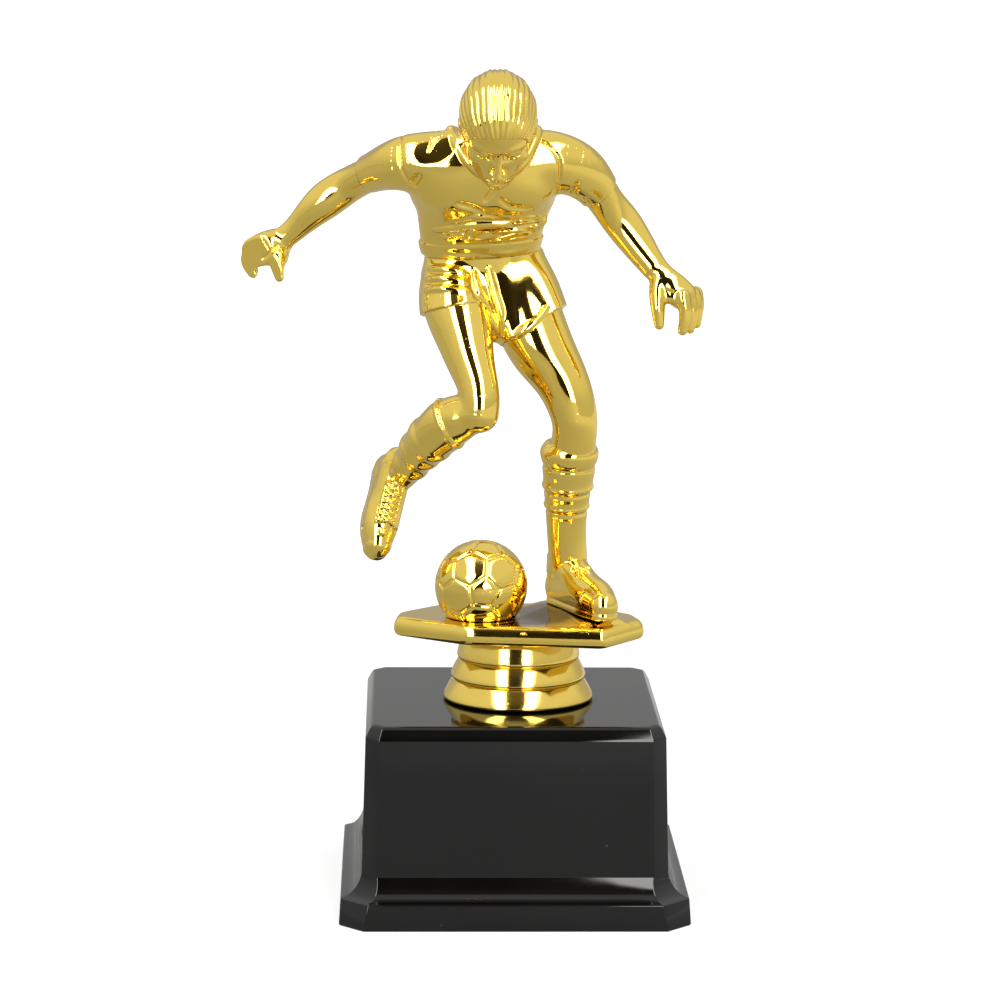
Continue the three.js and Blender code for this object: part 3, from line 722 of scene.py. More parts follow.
# ---------------- shorts ----------------
SHORTS_FOLDS = [
    ([(-20.5, -5, 146.6), (-17, -8, 147.0), (-12.0, -9.5, 146.6)], 0.85),
    ([(-20.8, -6, 144.0), (-17, -8.5, 144.4), (-11.5, -10, 144.0)], 0.85),
    ([(-20.5, -7, 141.4), (-16.5, -9.5, 141.8), (-11.0, -10.5, 141.4)], 0.8),
    ([(-20.0, -8, 139.0), (-16, -10.5, 139.2), (-10.5, -11, 139.4)], 0.7),
    ([(-9.6, -9, 146.5), (-8.4, -10, 142.0), (-6.6, -10, 137.5), (-3.8, -8.5, 131.5)], 0.85),
    ([(-6.4, -9, 146.8), (-5.0, -10, 141.5), (-3.8, -9.5, 136.5), (-2.6, -8.5, 131.2)], 0.85),
    ([(-8.8, -10, 139.0), (-6.4, -9.5, 135.0), (-4.6, -8.5, 131.8)], 0.65),
    ([(-1.8, -9, 131.4), (1.5, -11, 133.6), (5.0, -11, 136.2), (7.0, -9, 138.4)], 0.8),
    ([(-1.6, -9, 130.4), (2.0, -11.5, 131.8), (5.8, -11.5, 134.4)], 0.7),
]


def shorts():
    c = Clay()
    c.add(loft([(136, -6.6, 2.2, 12.6, 8.0), (141, -6.6, 2.0, 14.0, 9.0), (145, -7.2, 1.6, 13.9, 9.0),
                (150, -7.8, 0.6, 12.9, 8.4)]))
    near = limb([(-13.0, 1.0, 146.0, 7.6), (-13.8, -1.8, 141.2, 8.3), (-13.7, -5.2, 136.4, 8.3),
                 (-13.0, -9.0, 130.6, 8.2)])
    c.add(cut(near, (-14.2, -13.0, 139.0), (0.157, -0.247, -0.956), 0.35), 1.6)
    far = limb([(-0.8, 1.0, 146.5, 8.0), (0.8, -0.8, 141.4, 9.0), (3.2, -3.2, 135.4, 9.0),
                (5.6, -5.8, 129.6, 8.6)])
    far = cut(far, (5.2, -10.4, 133.4), (0.02, -0.965, 0.26), 1.8)
    c.add(cut(far, (5.24, -12.5, 135.9), (0.53, -0.189, -0.826), 0.35), 1.6)
    c.add(limb([(-7.8, -2.4, 141.0, 6.2), (-6.6, -3.6, 136.4, 4.8), (-4.6, -4.2, 132.2, 2.8)]), 2)
    c.add(egg((-13.0, 6.0, 140.5), (7.2, 6.0, 7.2)), 2.5)
    c.add(egg((-1.6, 6.2, 140.8), (7.2, 6.0, 7.2)), 2.5)
    ridges(c, SHORTS_FOLDS, 1.0)
    return c


# ---------------- socks ----------------
def ring(centre, axis, radius, thick, squash=1.0):
    axis = unit(axis)
    centre = np.asarray(centre, F32)

    def distance(p):
        q = p - centre
        h = q @ axis
        side = np.linalg.norm(q - h[:, None] * axis, axis=1) - radius
        return (np.sqrt(side * side + (h * squash) ** 2) - thick).astype(F32)

    r = radius + thick
    return Form(distance, centre - r, centre + r)


def band(rows, t, grow, half, blend):
    """A raised ring round a limb, at a fraction of its length."""
    at, length = spline(rows)
    y, slope = at(np.array([t * length]))
    return slab(thicker(rows, grow), y[0, :3], slope[0, :3], half, blend)


def thicker(rows, grow):
    return limb([(x, y, z, r + grow) for x, y, z, r in rows])


def swollen(form, axis, rows):
    """A form made thicker by an amount that changes along an axis."""
    axis = unit(axis)
    fine = curve([(x, y, 0) for x, y in rows], 20 * len(rows))
    order = np.argsort(fine[:, 0])
    at, grow = fine[order, 0], fine[order, 1]
    most = max(y for _, y in rows)
    return Form(lambda p: (form.distance(p) - np.interp(p @ axis / axis[2], at, grow)).astype(F32),
                form.low - most, form.high + most)


# how far the standing leg's sock stands out at each height: two soft rolls and the turned-down top
SOCK_SWELL = [
    (81.0, 0.0), (88.5, 0.0), (89.8, 0.06), (90.8, -0.2), (91.3, 0.15), (91.9, 0.38), (92.5, 0.15),
    (93.6, 0.0), (94.8, 0.08), (95.7, -0.2), (96.2, 0.15), (96.9, 0.45), (97.6, 0.18), (98.9, 0.0),
    (101.3, 0.06), (102.3, -0.2), (103.2, 0.25), (105.0, 0.75), (106.2, 0.72), (107.2, 0.35),
    (108.2, 0.0), (109.6, 0.0)]


def socks():
    c = Clay()
    top = (0.80, -0.30, 0.42)
    c.add(cut(limb(NEAR_SHIN), (-15.2, -14.4, 113.2), top, 0.4))
    c.add(slab(thicker(NEAR_SHIN, 0.3), (-15.9, -14.0, 112.8), top, 0.45, 0.7), 0.4)
    for t, grow, half in ((0.5, 0.16, 1.0), (0.66, 0.2, 1.0), (0.82, 0.2, 0.9)):
        c.add(band(NEAR_SHIN, t, grow, half, 1.6), 1.8)
    far = swollen(limb(FAR_SHIN), (0.02, -0.16, 1), SOCK_SWELL)
    c.add(cut(far, (12.6, -5.8, 106.6), (0.02, -0.1, 1), 0.4))
    return c


LACE_ROWS = 6


def laces(c, top, toe, out, lace):
    """Facings and crossed laces that lie on the instep."""
    step = (toe - top) / LACE_ROWS
    across = vec(0, 2.1, 0)
    strands = [on_surface(c, [top + across * edge, (top + toe) / 2 + across * edge,
                              toe + across * edge * 0.8])
               for edge in (-1, 1)]
    for i in range(LACE_ROWS):
        a = top + step * i
        strands += [on_surface(c, [a + across * edge, a + step / 2, a + step - across * edge]) + out * 0.15
                    for edge in (-1, 1)]
    for points in strands:
        c.add(tube(points, 0.2 + 0.2 * lace, count=8), 0.15)


def bow(c, knot):
    """A knot with two loops and two loose ends."""
    c.add(egg(knot, (0.75, 0.75, 0.6)), 0.15)
    for edge in (-1, 1):
        loop = [knot, knot + vec(-0.5, edge * 1.3, 0.6), knot + vec(-0.2, edge * 2.4, -0.1),
                knot + vec(0.4, edge * 1.9, -0.6), knot]
        end = [knot, knot + vec(1.2, edge * 0.9, -0.2), knot + vec(2.2, edge * 1.6, -1.2)]
        c.add(tube(loop, 0.32), 0.12)
        c.add(tube(end, 0.28, count=8), 0.12)


# ---------------- boot, in its own frame: x to the toe, y to its left, z up from the sole ----------------
FOOT_LINE = [(0, 0), (7, 0.2), (13, 0.5), (17.5, 0.4), (20.6, 0.1)]


def boot(collar, lace, side, girth=1.0, reach=15.6):
    """collar: which way the sock comes out; lace: how far the laces stand out; side: where the little toe is;
    girth: thickness of the ankle; reach: how far towards the toe the laces go."""

    def last(heights, radii):
        return limb([(x, side * y, z, r) for (x, y), z, r in zip(FOOT_LINE, heights, radii)])

    c = Clay()
    collar = unit(collar)
    ankle = vec(0.9, 0, 8.4)
    c.add(last((4.1, 4.3, 4.2, 3.7, 3.2), (4.1, 4.3, 4.45, 4.1, 3.3)))
    c.add(cone((0, 0, 4.1), 4.1, ankle, 4.2 * girth), 1.5)
    c.add(cone(ankle, 4.2 * girth, ankle + collar * 2.6, 4.3 * girth), 1.5)
    c.add(last((2.5, 2.5, 2.4, 2.3, 2.2), (3.95, 4.0, 4.3, 3.95, 3.15)), 1.0)
    c.add(limb([(1.8, 0, 9.4, 4.1), (6.4, 0, 7.5, 4.1), (11.4, side * 0.1, 5.4, 4.0),
                (15.6, side * 0.2, 4.2, 3.7)]), 1.5)
    # flat underneath, with a thin sole that stands out a little
    c.carve(slab(egg((8, 0, 0), (40, 40, 40)), (0, 0, -3.0), (0, 0, 1), 3.0, 0.2), 0.3)
    c.add(slab(last((0.6,) * 5, (4.0, 4.05, 4.4, 4.05, 3.3)), (0, 0, 0.7), (0, 0, 1), 0.7, 0.3), 0.4)
    c.add(ring(ankle + collar * 2.7, collar, 3.95 * girth, 0.5, 0.8), 0.6)
    top, toe = vec(7.6, 0, 10.6), vec(reach, side * 0.1, 13.9 - 0.41 * reach)
    along = unit(toe - top)
    out = unit(vec(3.3, 0, 8.8))
    if lace > 0.5:
        c.add(cone(top - out * 1.6, 2.0, toe - out * 1.7, 2.0), 1.2)
        laces(c, top, toe, out, lace)
        c.add(egg((18.9, side * 0.3, 6.9), (1.35, 1.35, 1.1)), 0.25)
        knot = top - along * 0.6
    else:
        knot = top + along * 3.2 - vec(0, side * 1.0, 0)
    bow(c, on_surface(c, [knot])[0] + out * 0.2)
    toe_cap = [(16.6, -4.4, 1.6), (16.9, -3.8, 4.2), (17.1, -2.0, 6.4), (17.2, side * 0.3, 7.1),
               (17.1, 2.4, 6.4), (16.9, 4.4, 4.2), (16.6, 5.0, 1.6)]
    heel_seam = [(4.6, 4.6, 1.6), (3.4, 4.6, 4.0), (0.6, 4.6, 6.4), (-3.6, 2.4, 7.0), (-4.4, 0, 7.1),
                 (-3.6, -2.4, 7.0), (0.6, -4.6, 6.4), (3.4, -4.6, 4.0), (4.6, -4.6, 1.6)]
    c.carve(tube(toe_cap, 0.3), 0.35)
    c.carve(tube(heel_seam, 0.22), 0.3)
    return c


def boot_axes(toe_dir, up_hint):
    x = unit(toe_dir)
    hint = np.asarray(up_hint, F32)
    z = unit(hint - x * float(x @ hint))
    return np.array([x, np.cross(z, x), z], F32)


def whole():
    c = Clay()
    c.add(legs())
    c.add(arms())
    c.add(limb(NECK), 1)
    c.add(placed(near_hand(), (-0.33, 9.4, -0.95), np.eye(3)), 0.9)
    c.add(far_hand(), 0.9)
    c.add(shorts(), 0.25)
    c.add(jersey(), 0.25)
    c.add(socks(), 0.25)
    standing = boot_axes((0.4, -0.917, 0), (0, 0, 1))
    c.add(placed(boot((0.06, 0, 1), 0.4, 1), (11.9, 3.4, SOLE_Z), standing), 0.3)
    kicking = boot_axes((-0.13, -0.6, -0.79), (0.3, -0.75, 0.59))
    collar = kicking @ unit(vec(0.53, -0.59, 0.6)) + vec(0, 0, 0.6)
    c.add(placed(boot(collar, 1.2, -1, 0.86, 16.8), (-29.6, 10.2, 95.8), kicking, 0.93), 0.3)
    c.add(placed(head(), HEAD, head_axes()), 0.4)
    return c


# ---------------- the plate, the ball and the mound ----------------
PLATE_BOTTOM = 61.2
PLATE_TOP = 65.8
PLATE_CORNERS = [(-27.8, -6.5), (-11.2, -18.2), (20.3, -22.0), (30.2, -9.5), (28.5, -2.0), (13.0, 12.0),
                 (-17.0, 10.0), (-27.2, 0.0)]
BALL = vec(-7.6, -7.0, 73.2)
BALL_RADIUS = 10.65
BALL_WALL = 1.8
RISER_AXIS = (1.3, -1.0)


def outline_distance(p, corners, blend):
    """How far points are outside an anticlockwise convex outline, seen from above."""
    d = None
    for (ax, ay), (bx, by) in zip(corners, corners[1:] + corners[:1]):
        size = math.hypot(bx - ax, by - ay)
        nx, ny = (by - ay) / size, (ax - bx) / size
        side = (p[:, 0] - ax) * nx + (p[:, 1] - ay) * ny
        d = side if d is None else smooth_max(d, side, blend)
    return d


def rounded_plate():
    """The faceted plate, with a deep round on its upper edge and a tighter one on its lower edge."""
    equator = 62.9      # height of the widest outline
    power = 2.3
    upper, lower = (2.0, PLATE_TOP - equator), (1.5, equator - PLATE_BOTTOM)

    def distance(p):
        q = outline_distance(p, PLATE_CORNERS, 1.6)
        v = p[:, 2] - equator
        d = np.empty(len(p), F32)
        for run, rise, part in ((*upper, v >= 0), (*lower, v < 0)):
            u = np.maximum(q[part] + run, 0) / run
            w = np.abs(v[part]) / rise
            rho = (u ** power + w ** power) ** (1 / power)
            d[part] = (rho - 1) * min(run, rise)
        return d

    return Form(distance, (-29, -23, PLATE_BOTTOM), (31, 13, PLATE_TOP))


def turf():
    """The low faceted mound that the standing boot is planted on."""
    foot = [(-1.4, 5.5), (-1.2, -9.5), (7.0, -18.2), (17.0, -21.0), (26.5, -13.0), (17.5, 10.5)]
    crown = [(6.4, 7.0), (8.3, 0.5), (12.6, -9.5), (16.4, -18.4), (23.4, -15.6), (15.6, 8.0)]
    low, high = PLATE_TOP - 0.6, SOLE_Z - 0.05
    planes = []
    for i in range(len(foot)):
        j = (i + 1) % len(foot)
        a, b = vec(*foot[i], low), vec(*foot[j], low)
        top = vec(*((np.array(crown[i]) + np.array(crown[j])) / 2), high)
        planes.append((a, unit(np.cross(b - a, top - a))))

    def distance(p):
        d = p[:, 2] - high
        for point, normal in planes:
            d = smooth_max(d, (p - point) @ normal, 0.25)
        return np.maximum(d, low - p[:, 2]).astype(F32)

    return Form(distance, (-3, -22, low), (28, 12, high))


def plate_clay():
    c = Clay()
    c.add(rounded_plate())
    c.add(turf(), 0.5)
    # the dish that the ball sits in, with a raised lip round it
    seat = math.sqrt(BALL_RADIUS ** 2 - (float(BALL[2]) - PLATE_TOP) ** 2)
    spots = [(BALL[0] + math.cos(t) * (seat + 0.7), BALL[1] + math.sin(t) * (seat + 0.7), PLATE_TOP - 0.15)
             for t in np.linspace(0, 2 * math.pi, 25)]
    c.add(tube(spots, 0.35, count=120), 0.8)
    c.carve(egg(BALL, (BALL_RADIUS + 0.12,) * 3), 0.15)
    # the gate mark on the front edge, and a sink mark
    c.add(egg((1.8, -20.55, 64.6), (0.75, 0.5, 0.5)), 0.25)
    c.carve(egg((-17.5, -15.0, 66.9), (2.2, 1.6, 1.3)), 0.8)
    return c


def cube_sphere(count):
    """Points on a unit ball from six square grids, and their quads, with the seams between grids joined."""
    steps = np.tan(np.linspace(-1, 1, count + 1) * math.pi / 4)
    u, v = np.meshgrid(steps, steps, indexing='ij')
    points, quads = [], []
    index = np.arange((count + 1) ** 2).reshape(count + 1, count + 1)
    grid = np.stack([index[:-1, :-1], index[1:, :-1], index[1:, 1:], index[:-1, 1:]], -1).reshape(-1, 4)
    one = np.ones_like(u)
    sides = [(one, u, v), (-one, v, u), (v, one, u), (u, -one, v), (u, v, one), (v, u, -one)]
    for number, face in enumerate(sides):
        points.append(np.stack(face, -1).reshape(-1, 3))
        quads.append(grid + number * len(points[-1]))
    points = np.concatenate(points)
    points /= np.linalg.norm(points, axis=1)[:, None]
    _, first, back = np.unique(np.round(points, 6), axis=0, return_index=True, return_inverse=True)
    return points[first], back.reshape(-1)[np.concatenate(quads)]


def football_panels():
    """Directions of the middles of the 12 five-sided and 20 six-sided panels."""
    phi = (1 + 5 ** 0.5) / 2
    fives = np.array([p for s in (-1, 1) for t in (-1, 1)
                      for p in ((0, s, t * phi), (s, t * phi, 0), (t * phi, 0, s))], float)
    fives /= np.linalg.norm(fives[0])
    sixes = []
    for i, j, k in combinations(range(12), 3):
        a, b, c = fives[k], fives[j], fives[i]
        if min(a @ b, b @ c, a @ c) > 0.4:
            middle = a + b + c
            sixes.append(middle / np.linalg.norm(middle))
    return fives, np.array(sixes)


def turn_to(panels, facing, up):
    """Turns the panels so that one five-sided panel faces a direction with a corner towards another."""
    fives, _ = panels
    start = fives[0]
    corner = unit(fives[1:][np.argmax(fives[1:] @ start)])
    a = np.array([start, unit(corner - start * (corner @ start)), [0, 0, 0]])
    a[2] = np.cross(a[0], a[1])
    facing = unit(facing)
    rise = unit(np.asarray(up, float) - facing * float(np.dot(up, facing)))
    b = np.array([facing, rise, np.cross(facing, rise)])
    turn = a.T @ b
    return [p @ turn for p in panels]


FIVES_REACH, SIXES_REACH = 0.9393, 0.9149       # how far the panels' planes are from the middle
SEAM_SPREAD = 0.68
SEAM_WIDTH, SEAM_DEPTH = 0.36, 0.30
PILLOW_PLACE, PILLOW_WIDTH, PILLOW_HEIGHT = 0.95, 0.75, 0.045
MOULD_WIDTH, MOULD_DEPTH = 0.14, 0.035


def football_surface(directions):
    """Distance of the ball's skin from its middle in each direction: pillowed panels and sunk seams."""
    fives, sixes = turn_to(football_panels(), (0.047, -0.998, 0.03), (0.11, 0.1, 1))
    scores = np.concatenate([directions @ fives.T / FIVES_REACH, directions @ sixes.T / SIXES_REACH], 1)
    best = np.sort(scores, axis=1)
    gap = (best[:, -1] - best[:, -2]) / SEAM_SPREAD * BALL_RADIUS
    seam = np.exp(-(gap / SEAM_WIDTH) ** 2) * SEAM_DEPTH
    pillow = np.exp(-((gap - PILLOW_PLACE) / PILLOW_WIDTH) ** 2) * PILLOW_HEIGHT
    mould = np.exp(-(directions[:, 1] * BALL_RADIUS / MOULD_WIDTH) ** 2) * MOULD_DEPTH
    return BALL_RADIUS - seam + pillow - mould


def ball_halves():
    """Front and back half shells of the ball, closed round their rims."""
    points, quads = cube_sphere(84)
    outer = points * football_surface(points)[:, None]
    inner = points * (BALL_RADIUS - BALL_WALL)
    result = []
    for name, side in (('ball_front', -1), ('ball_back', 1)):
        mine = quads[(points[quads][:, :, 1].mean(1) * side) > 0]
        edges = np.concatenate([mine[:, [i, (i + 1) % 4]] for i in range(4)])
        code = np.sort(edges, axis=1) @ np.array([len(points), 1])
        values, count = np.unique(code, return_counts=True)
        rim = edges[np.isin(code, values[count == 1])]
        size = len(points)
        walls = np.stack([rim[:, 1], rim[:, 0], rim[:, 0] + size, rim[:, 1] + size], 1)
        faces = np.concatenate([mine, mine[:, ::-1] + size, walls])
        result.append((name, *used_only(np.concatenate([outer, inner]) + BALL, faces)))
    return result


def used_only(points, faces):
    used, back = np.unique(faces, return_inverse=True)
    return points[used], back.reshape(faces.shape)


# ---------------- turned and lofted pieces ----------------
def smooth_profile(points, rounds=3):
    """Cuts the corners of a closed outline a few times, to round it."""
    p = np.asarray(points, float)
    for _ in range(rounds):
        after = np.roll(p, -1, axis=0)
        p = np.stack([p * 0.75 + after * 0.25, p * 0.25 + after * 0.75], 1).reshape(-1, 2)
    return p


def lathe(profile, centre, count=224):
    """Quads of a closed outline of radius and height turned about an upright axis."""
    turn = np.arange(count) / count * 2 * math.pi
    r, z = np.asarray(profile, float).T
    points = np.stack([centre[0] + np.outer(np.cos(turn), r), centre[1] + np.outer(np.sin(turn), r),
                       np.tile(z, (count, 1))], -1).reshape(-1, 3)
    size = len(r)
    i, j = np.meshgrid(np.arange(count), np.arange(size), indexing='ij')
    a, b = i * size + j, ((i + 1) % count) * size + j
    c, d = ((i + 1) % count) * size + (j + 1) % size, i * size + (j + 1) % size
    return points, np.stack([a, b, c, d], -1).reshape(-1, 4)


# radius and height, up the outside over three flared rings, then down the bore and the hollow
RISER_PROFILE = [
    (16.2, 45.9), (16.9, 45.9), (17.35, 46.0), (17.55, 46.3), (17.5, 46.75), (17.1, 47.6), (16.4, 48.8),
    (15.6, 50.0), (15.25, 50.4), (15.0, 50.55), (14.75, 50.58), (14.72, 50.72), (15.0, 50.76),
    (15.5, 50.85), (15.72, 51.15), (15.68, 51.6), (15.4, 52.4), (14.8, 53.7), (14.15, 54.85),
    (13.9, 55.15), (13.65, 55.28), (13.42, 55.31), (13.4, 55.45), (13.65, 55.49), (14.05, 55.56),
    (14.28, 55.85), (14.27, 56.3), (14.1, 57.2), (13.75, 58.6), (13.3, 60.2), (13.0, 60.8), (12.8, 60.9),
    (12.4, 60.9), (6.0, 60.9), (3.0, 60.9), (2.75, 60.9), (2.75, 60.6), (2.75, 46.2), (2.75, 45.9),
    (3.0, 45.9), (4.8, 45.9), (5.0, 45.9), (5.0, 46.2), (5.0, 58.0), (5.6, 58.9), (9.8, 58.9),
    (11.0, 57.0), (12.2, 53.6), (14.3, 47.6), (14.6, 46.2), (14.7, 45.9), (15.0, 45.9),
]


def rounded_corners(half, corner, radius, steps=5):
    """Outline of a square with cut corners, each of its eight corners rounded."""
    inner = half - corner
    corners = np.array([(half, -inner), (half, inner), (inner, half), (-inner, half), (-half, inner),
                        (-half, -inner), (-inner, -half), (inner, -half)], float)
    points = []
    for i, p in enumerate(corners):
        before, after = corners[i - 1], corners[(i + 1) % 8]
        a, b = unit(before - p), unit(after - p)
        reach = radius * math.tan(math.radians(22.5))
        start, end = p + a * reach, p + b * reach
        for t in np.linspace(0, 1, steps):
            points.append((1 - t) ** 2 * start + 2 * t * (1 - t) * p + t * t * end)
    return np.array(points)


# height, half width and corner cut: up the outside, then down the inside
BASE_OUTSIDE = [
    (0.0, 39.5, 5.4), (0.05, 39.85, 5.5), (0.4, 40.0, 5.6), (5.6, 39.65, 6.15), (5.95, 39.6, 6.2),
    (6.12, 39.35, 6.2), (6.25, 38.9, 6.1), (6.6, 38.0, 5.75), (7.2, 37.1, 5.25), (8.1, 36.25, 4.7),
    (9.1, 35.65, 4.25), (10.2, 35.2, 3.85), (11.0, 35.02, 3.6), (11.35, 34.95, 3.5), (11.7, 34.93, 3.5),
    (20.0, 34.68, 3.4), (30.0, 34.4, 3.25), (42.6, 34.06, 3.0), (42.95, 34.0, 2.95), (43.25, 33.86, 2.9),
    (44.75, 33.08, 2.6), (45.2, 32.75, 2.5), (45.5, 32.35, 2.4), (45.6, 31.8, 2.3), (45.6, 31.2, 2.2),
    (45.6, 18.0, 1.2),
]
BASE_INSIDE = [(43.0, 31.8, 3.5), (11.7, 32.8, 3.5), (5.45, 36.1, 5.0), (2.1, 36.1, 5.0), (2.1, 37.9, 5.0),
               (0.3, 37.9, 5.0), (0.0, 38.1, 5.0)]
BASE_TOP, BASE_CEILING = 45.6, 43.0
BOLT_HOLE = 2.75
# the four ribs under the top: middle x and y, half width and half depth
RIBS = [(RISER_AXIS[0], 19.0, 0.8, 13.6), (RISER_AXIS[0], -19.6, 0.8, 13.2),
        (19.0, RISER_AXIS[1], 13.2, 0.8), (-18.0, RISER_AXIS[1], 14.2, 0.8)]
RIB_MIDDLE, RIB_HALF = 34.7, 8.7


def base_shell():
    """The hollow shell as level outlines joined up the outside, through the bolt hole and down the inside,
    with the boss and the ribs that the ballast is clamped against."""
    outside = [(z, rounded_corners(half, cut, 0.7)) for z, half, cut in BASE_OUTSIDE]
    hole = [(z, hole_outline(outside[0][1])) for z in (BASE_TOP, BASE_CEILING)]
    inside = [(z, rounded_corners(half, cut, 0.6)) for z, half, cut in BASE_INSIDE]
    order = outside + hole + inside
    points = np.concatenate([np.column_stack([line, np.full(len(line), z)]) for z, line in order])
    count = len(order[0][1])
    i, j = np.meshgrid(np.arange(len(order)), np.arange(count), indexing='ij')
    nxt, side = (i + 1) % len(order), (j + 1) % count
    quads = np.stack([i * count + j, i * count + side, nxt * count + side, nxt * count + j], -1)
    boss = lathe([(BOLT_HOLE, 26.0), (5.2, 26.0), (5.2, 43.4), (BOLT_HOLE, 43.4)], RISER_AXIS, 48)
    ribs = [slim_block(x, y, RIB_MIDDLE, wide, deep, RIB_HALF) for x, y, wide, deep in RIBS]
    return joined([(points, quads.reshape(-1, 4)), boss, *ribs])


def hole_outline(outline):
    """The bolt hole's edge, with its points in the same directions as an outline's."""
    turn = np.arctan2(outline[:, 1], outline[:, 0])
    return np.column_stack([RISER_AXIS[0] + np.cos(turn) * BOLT_HOLE,
                            RISER_AXIS[1] + np.sin(turn) * BOLT_HOLE])


def slim_block(x, y, z, wide, deep, tall):
    signs = np.array([(a, b, c) for a in (-1, 1) for b in (-1, 1) for c in (-1, 1)], float)
    points = signs * (wide, deep, tall) + (x, y, z)
    quads = np.array([(0, 1, 3, 2), (4, 6, 7, 5), (0, 4, 5, 1), (2, 3, 7, 6), (0, 2, 6, 4), (1, 5, 7, 3)])
    return points, quads


def joined(parts):
    points, quads, start = [], [], 0
    for p, q in parts:
        points.append(p)
        quads.append(q + start)
        start += len(p)
    return np.concatenate(points), np.concatenate(quads)


# ---------------- parting the figure ----------------
def parting_anchors():
    """Middles of the limbs, hands, boots and trunk, which the parting surface runs through."""
    points = [HEAD + vec(0, 3, 1), vec(*NECK[0][:3])]
    for rows in (NEAR_ARM, FAR_ARM, NEAR_THIGH, FAR_THIGH, NEAR_SHIN, FAR_SHIN):
        points += [vec(*row[:3]) for row in rows]
    points += [vec(-58.5, -6.5, 147.6), vec(-60.2, -7.5, 143.0)]
    points += [vec(36.6, -12.0, 140.5), vec(39.0, -13.0, 136.0)]
    points += [vec(11.6, 3.6, 74.0), vec(15.0, -5.0, 71.5), vec(19.4, -14.0, 70.5)]
    points += [vec(-29.4, 7.0, 92.6), vec(-31.0, 3.4, 88.0), vec(-31.6, 0.6, 83.0)]
    for z, x, y, half, _ in TORSO_ROWS:
        points += [vec(x - half * 0.6, y, z), vec(x + half * 0.6, y, z)]
    return np.array(points)


PARTING_ANCHORS = parting_anchors()


def parting_depth(x, z):
    """Depth of the surface between the two mouldings: a weighted mean of the limbs' middles nearby."""
    across, depth, height = PARTING_ANCHORS.T
    out = np.empty(len(x), F32)
    for start in range(0, len(x), PARTING_BATCH):
        part = slice(start, start + PARTING_BATCH)
        d2 = (x[part, None] - across[None]) ** 2 + (z[part, None] - height[None]) ** 2
        pull = 1 / (d2 + 4) ** 2
        out[part] = (pull * depth[None]).sum(1) / pull.sum(1)
    return out


def mould_line(clay):
    """The figure with a hair-fine groove along the line where its two mouldings meet."""
    plain = clay.distance
    groove, width, reach = F32(0.06), 0.2, 0.8

    def distance(p):
        d = plain(p)
        near = np.flatnonzero(np.abs(d) < reach)
        if len(near):
            q = p[near]
            g = parting_depth(q[:, 0], q[:, 2]) - q[:, 1]
            d[near] = d[near] + groove * np.exp(-(g / width) ** 2)
        return d

    clay.distance = distance
    return clay


def split(points, quads, g):
    """Cuts a mesh where g changes sign. Returns the points with the new ones added, and for each side its
    faces and the edges of its rim."""
    points = list(map(tuple, points))
    made = {}

    def crossing(a, b):
        key = (min(a, b), max(a, b))
        if key not in made:
            t = g[a] / (g[a] - g[b])
            pa, pb = points[a], points[b]
            made[key] = len(points)
            points.append(tuple(pa[i] + (pb[i] - pa[i]) * t for i in range(3)))
        return made[key]

    sign = g[quads] > 0
    whole_front = sign.all(1)
    whole_back = ~sign.any(1)
    faces = [[list(map(int, q)) for q in quads[whole_front]], [list(map(int, q)) for q in quads[whole_back]]]
    rims = [[], []]
    for q in quads[~whole_front & ~whole_back]:
        q = list(map(int, q))
        for tri in ((q[0], q[1], q[2]), (q[0], q[2], q[3])):
            front, back, cuts = [], [], []
            for i in range(3):
                a, b = tri[i], tri[(i + 1) % 3]
                (front if g[a] > 0 else back).append(a)
                if (g[a] > 0) != (g[b] > 0):
                    m = crossing(a, b)
                    front.append(m)
                    back.append(m)
                    cuts.append((m, g[a] > 0))
            if len(front) > 2:
                faces[0].append(front)
            if len(back) > 2:
                faces[1].append(back)
            if len(cuts) == 2:
                leave = next(m for m, outward in cuts if outward)
                enter = next(m for m, outward in cuts if not outward)
                rims[0].append((leave, enter))
                rims[1].append((enter, leave))
    return np.array(points), faces, rims


def cap(points, rim, clay, facing):
    """Triangles that close a half along the parting surface."""
    used = sorted({i for edge in rim for i in edge})
    place = {v: i for i, v in enumerate(used)}
    flat = [Vector((points[v][0], points[v][2])) for v in used]
    edges = [(place[a], place[b]) for a, b in rim]
    made, _, tris, origin, _, _ = geometry.delaunay_2d_cdt(flat, edges, [], 1, 1e-5)
    made = np.array([tuple(v) for v in made])
    tris = np.array([t for t in tris if len(t) == 3])
    middle = made[tris].mean(1)
    depth = parting_depth(middle[:, 0], middle[:, 1])
    inside = clay.distance(np.column_stack([middle[:, 0], depth, middle[:, 1]]).astype(F32)) < 0
    tris = tris[inside]
    extra, names = [], []
    for spot, source in zip(made, origin):
        if source:
            names.append(used[source[0]])
        else:
            names.append(len(points) + len(extra))
            extra.append((spot[0], float(parting_depth(spot[:1], spot[1:])[0]), spot[1]))
    corner = made[tris]
    area = np.cross(corner[:, 1] - corner[:, 0], corner[:, 2] - corner[:, 0])
    tris = [[names[i] for i in (t if (a < 0) == (facing < 0) else t[::-1])] for t, a in zip(tris, area)]
    return extra, tris


# ---------------- Blender ----------------
def mesh_object(name, points, faces, body, normals=None):
    """A smooth mesh piece, given in millimetres, riding on a body."""
    mesh = bpy.data.meshes.new(name)
    mesh.from_pydata((np.asarray(points, float) / 1000).tolist(), [], [list(map(int, f)) for f in faces])
    mesh.polygons.foreach_set('use_smooth', [True] * len(mesh.polygons))
    if normals is not None:
        mesh.normals_split_custom_set_from_vertices(normals.tolist())
    mesh.update()
    piece = bpy.data.objects.new(name, mesh)
    bpy.context.scene.collection.objects.link(piece)
    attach(piece, body)
    return piece


def sharp_edges(piece, degrees):
    """Edges steeper than this stay crisp under smooth shading."""
    piece.data.set_sharp_from_angle(angle=math.radians(degrees))


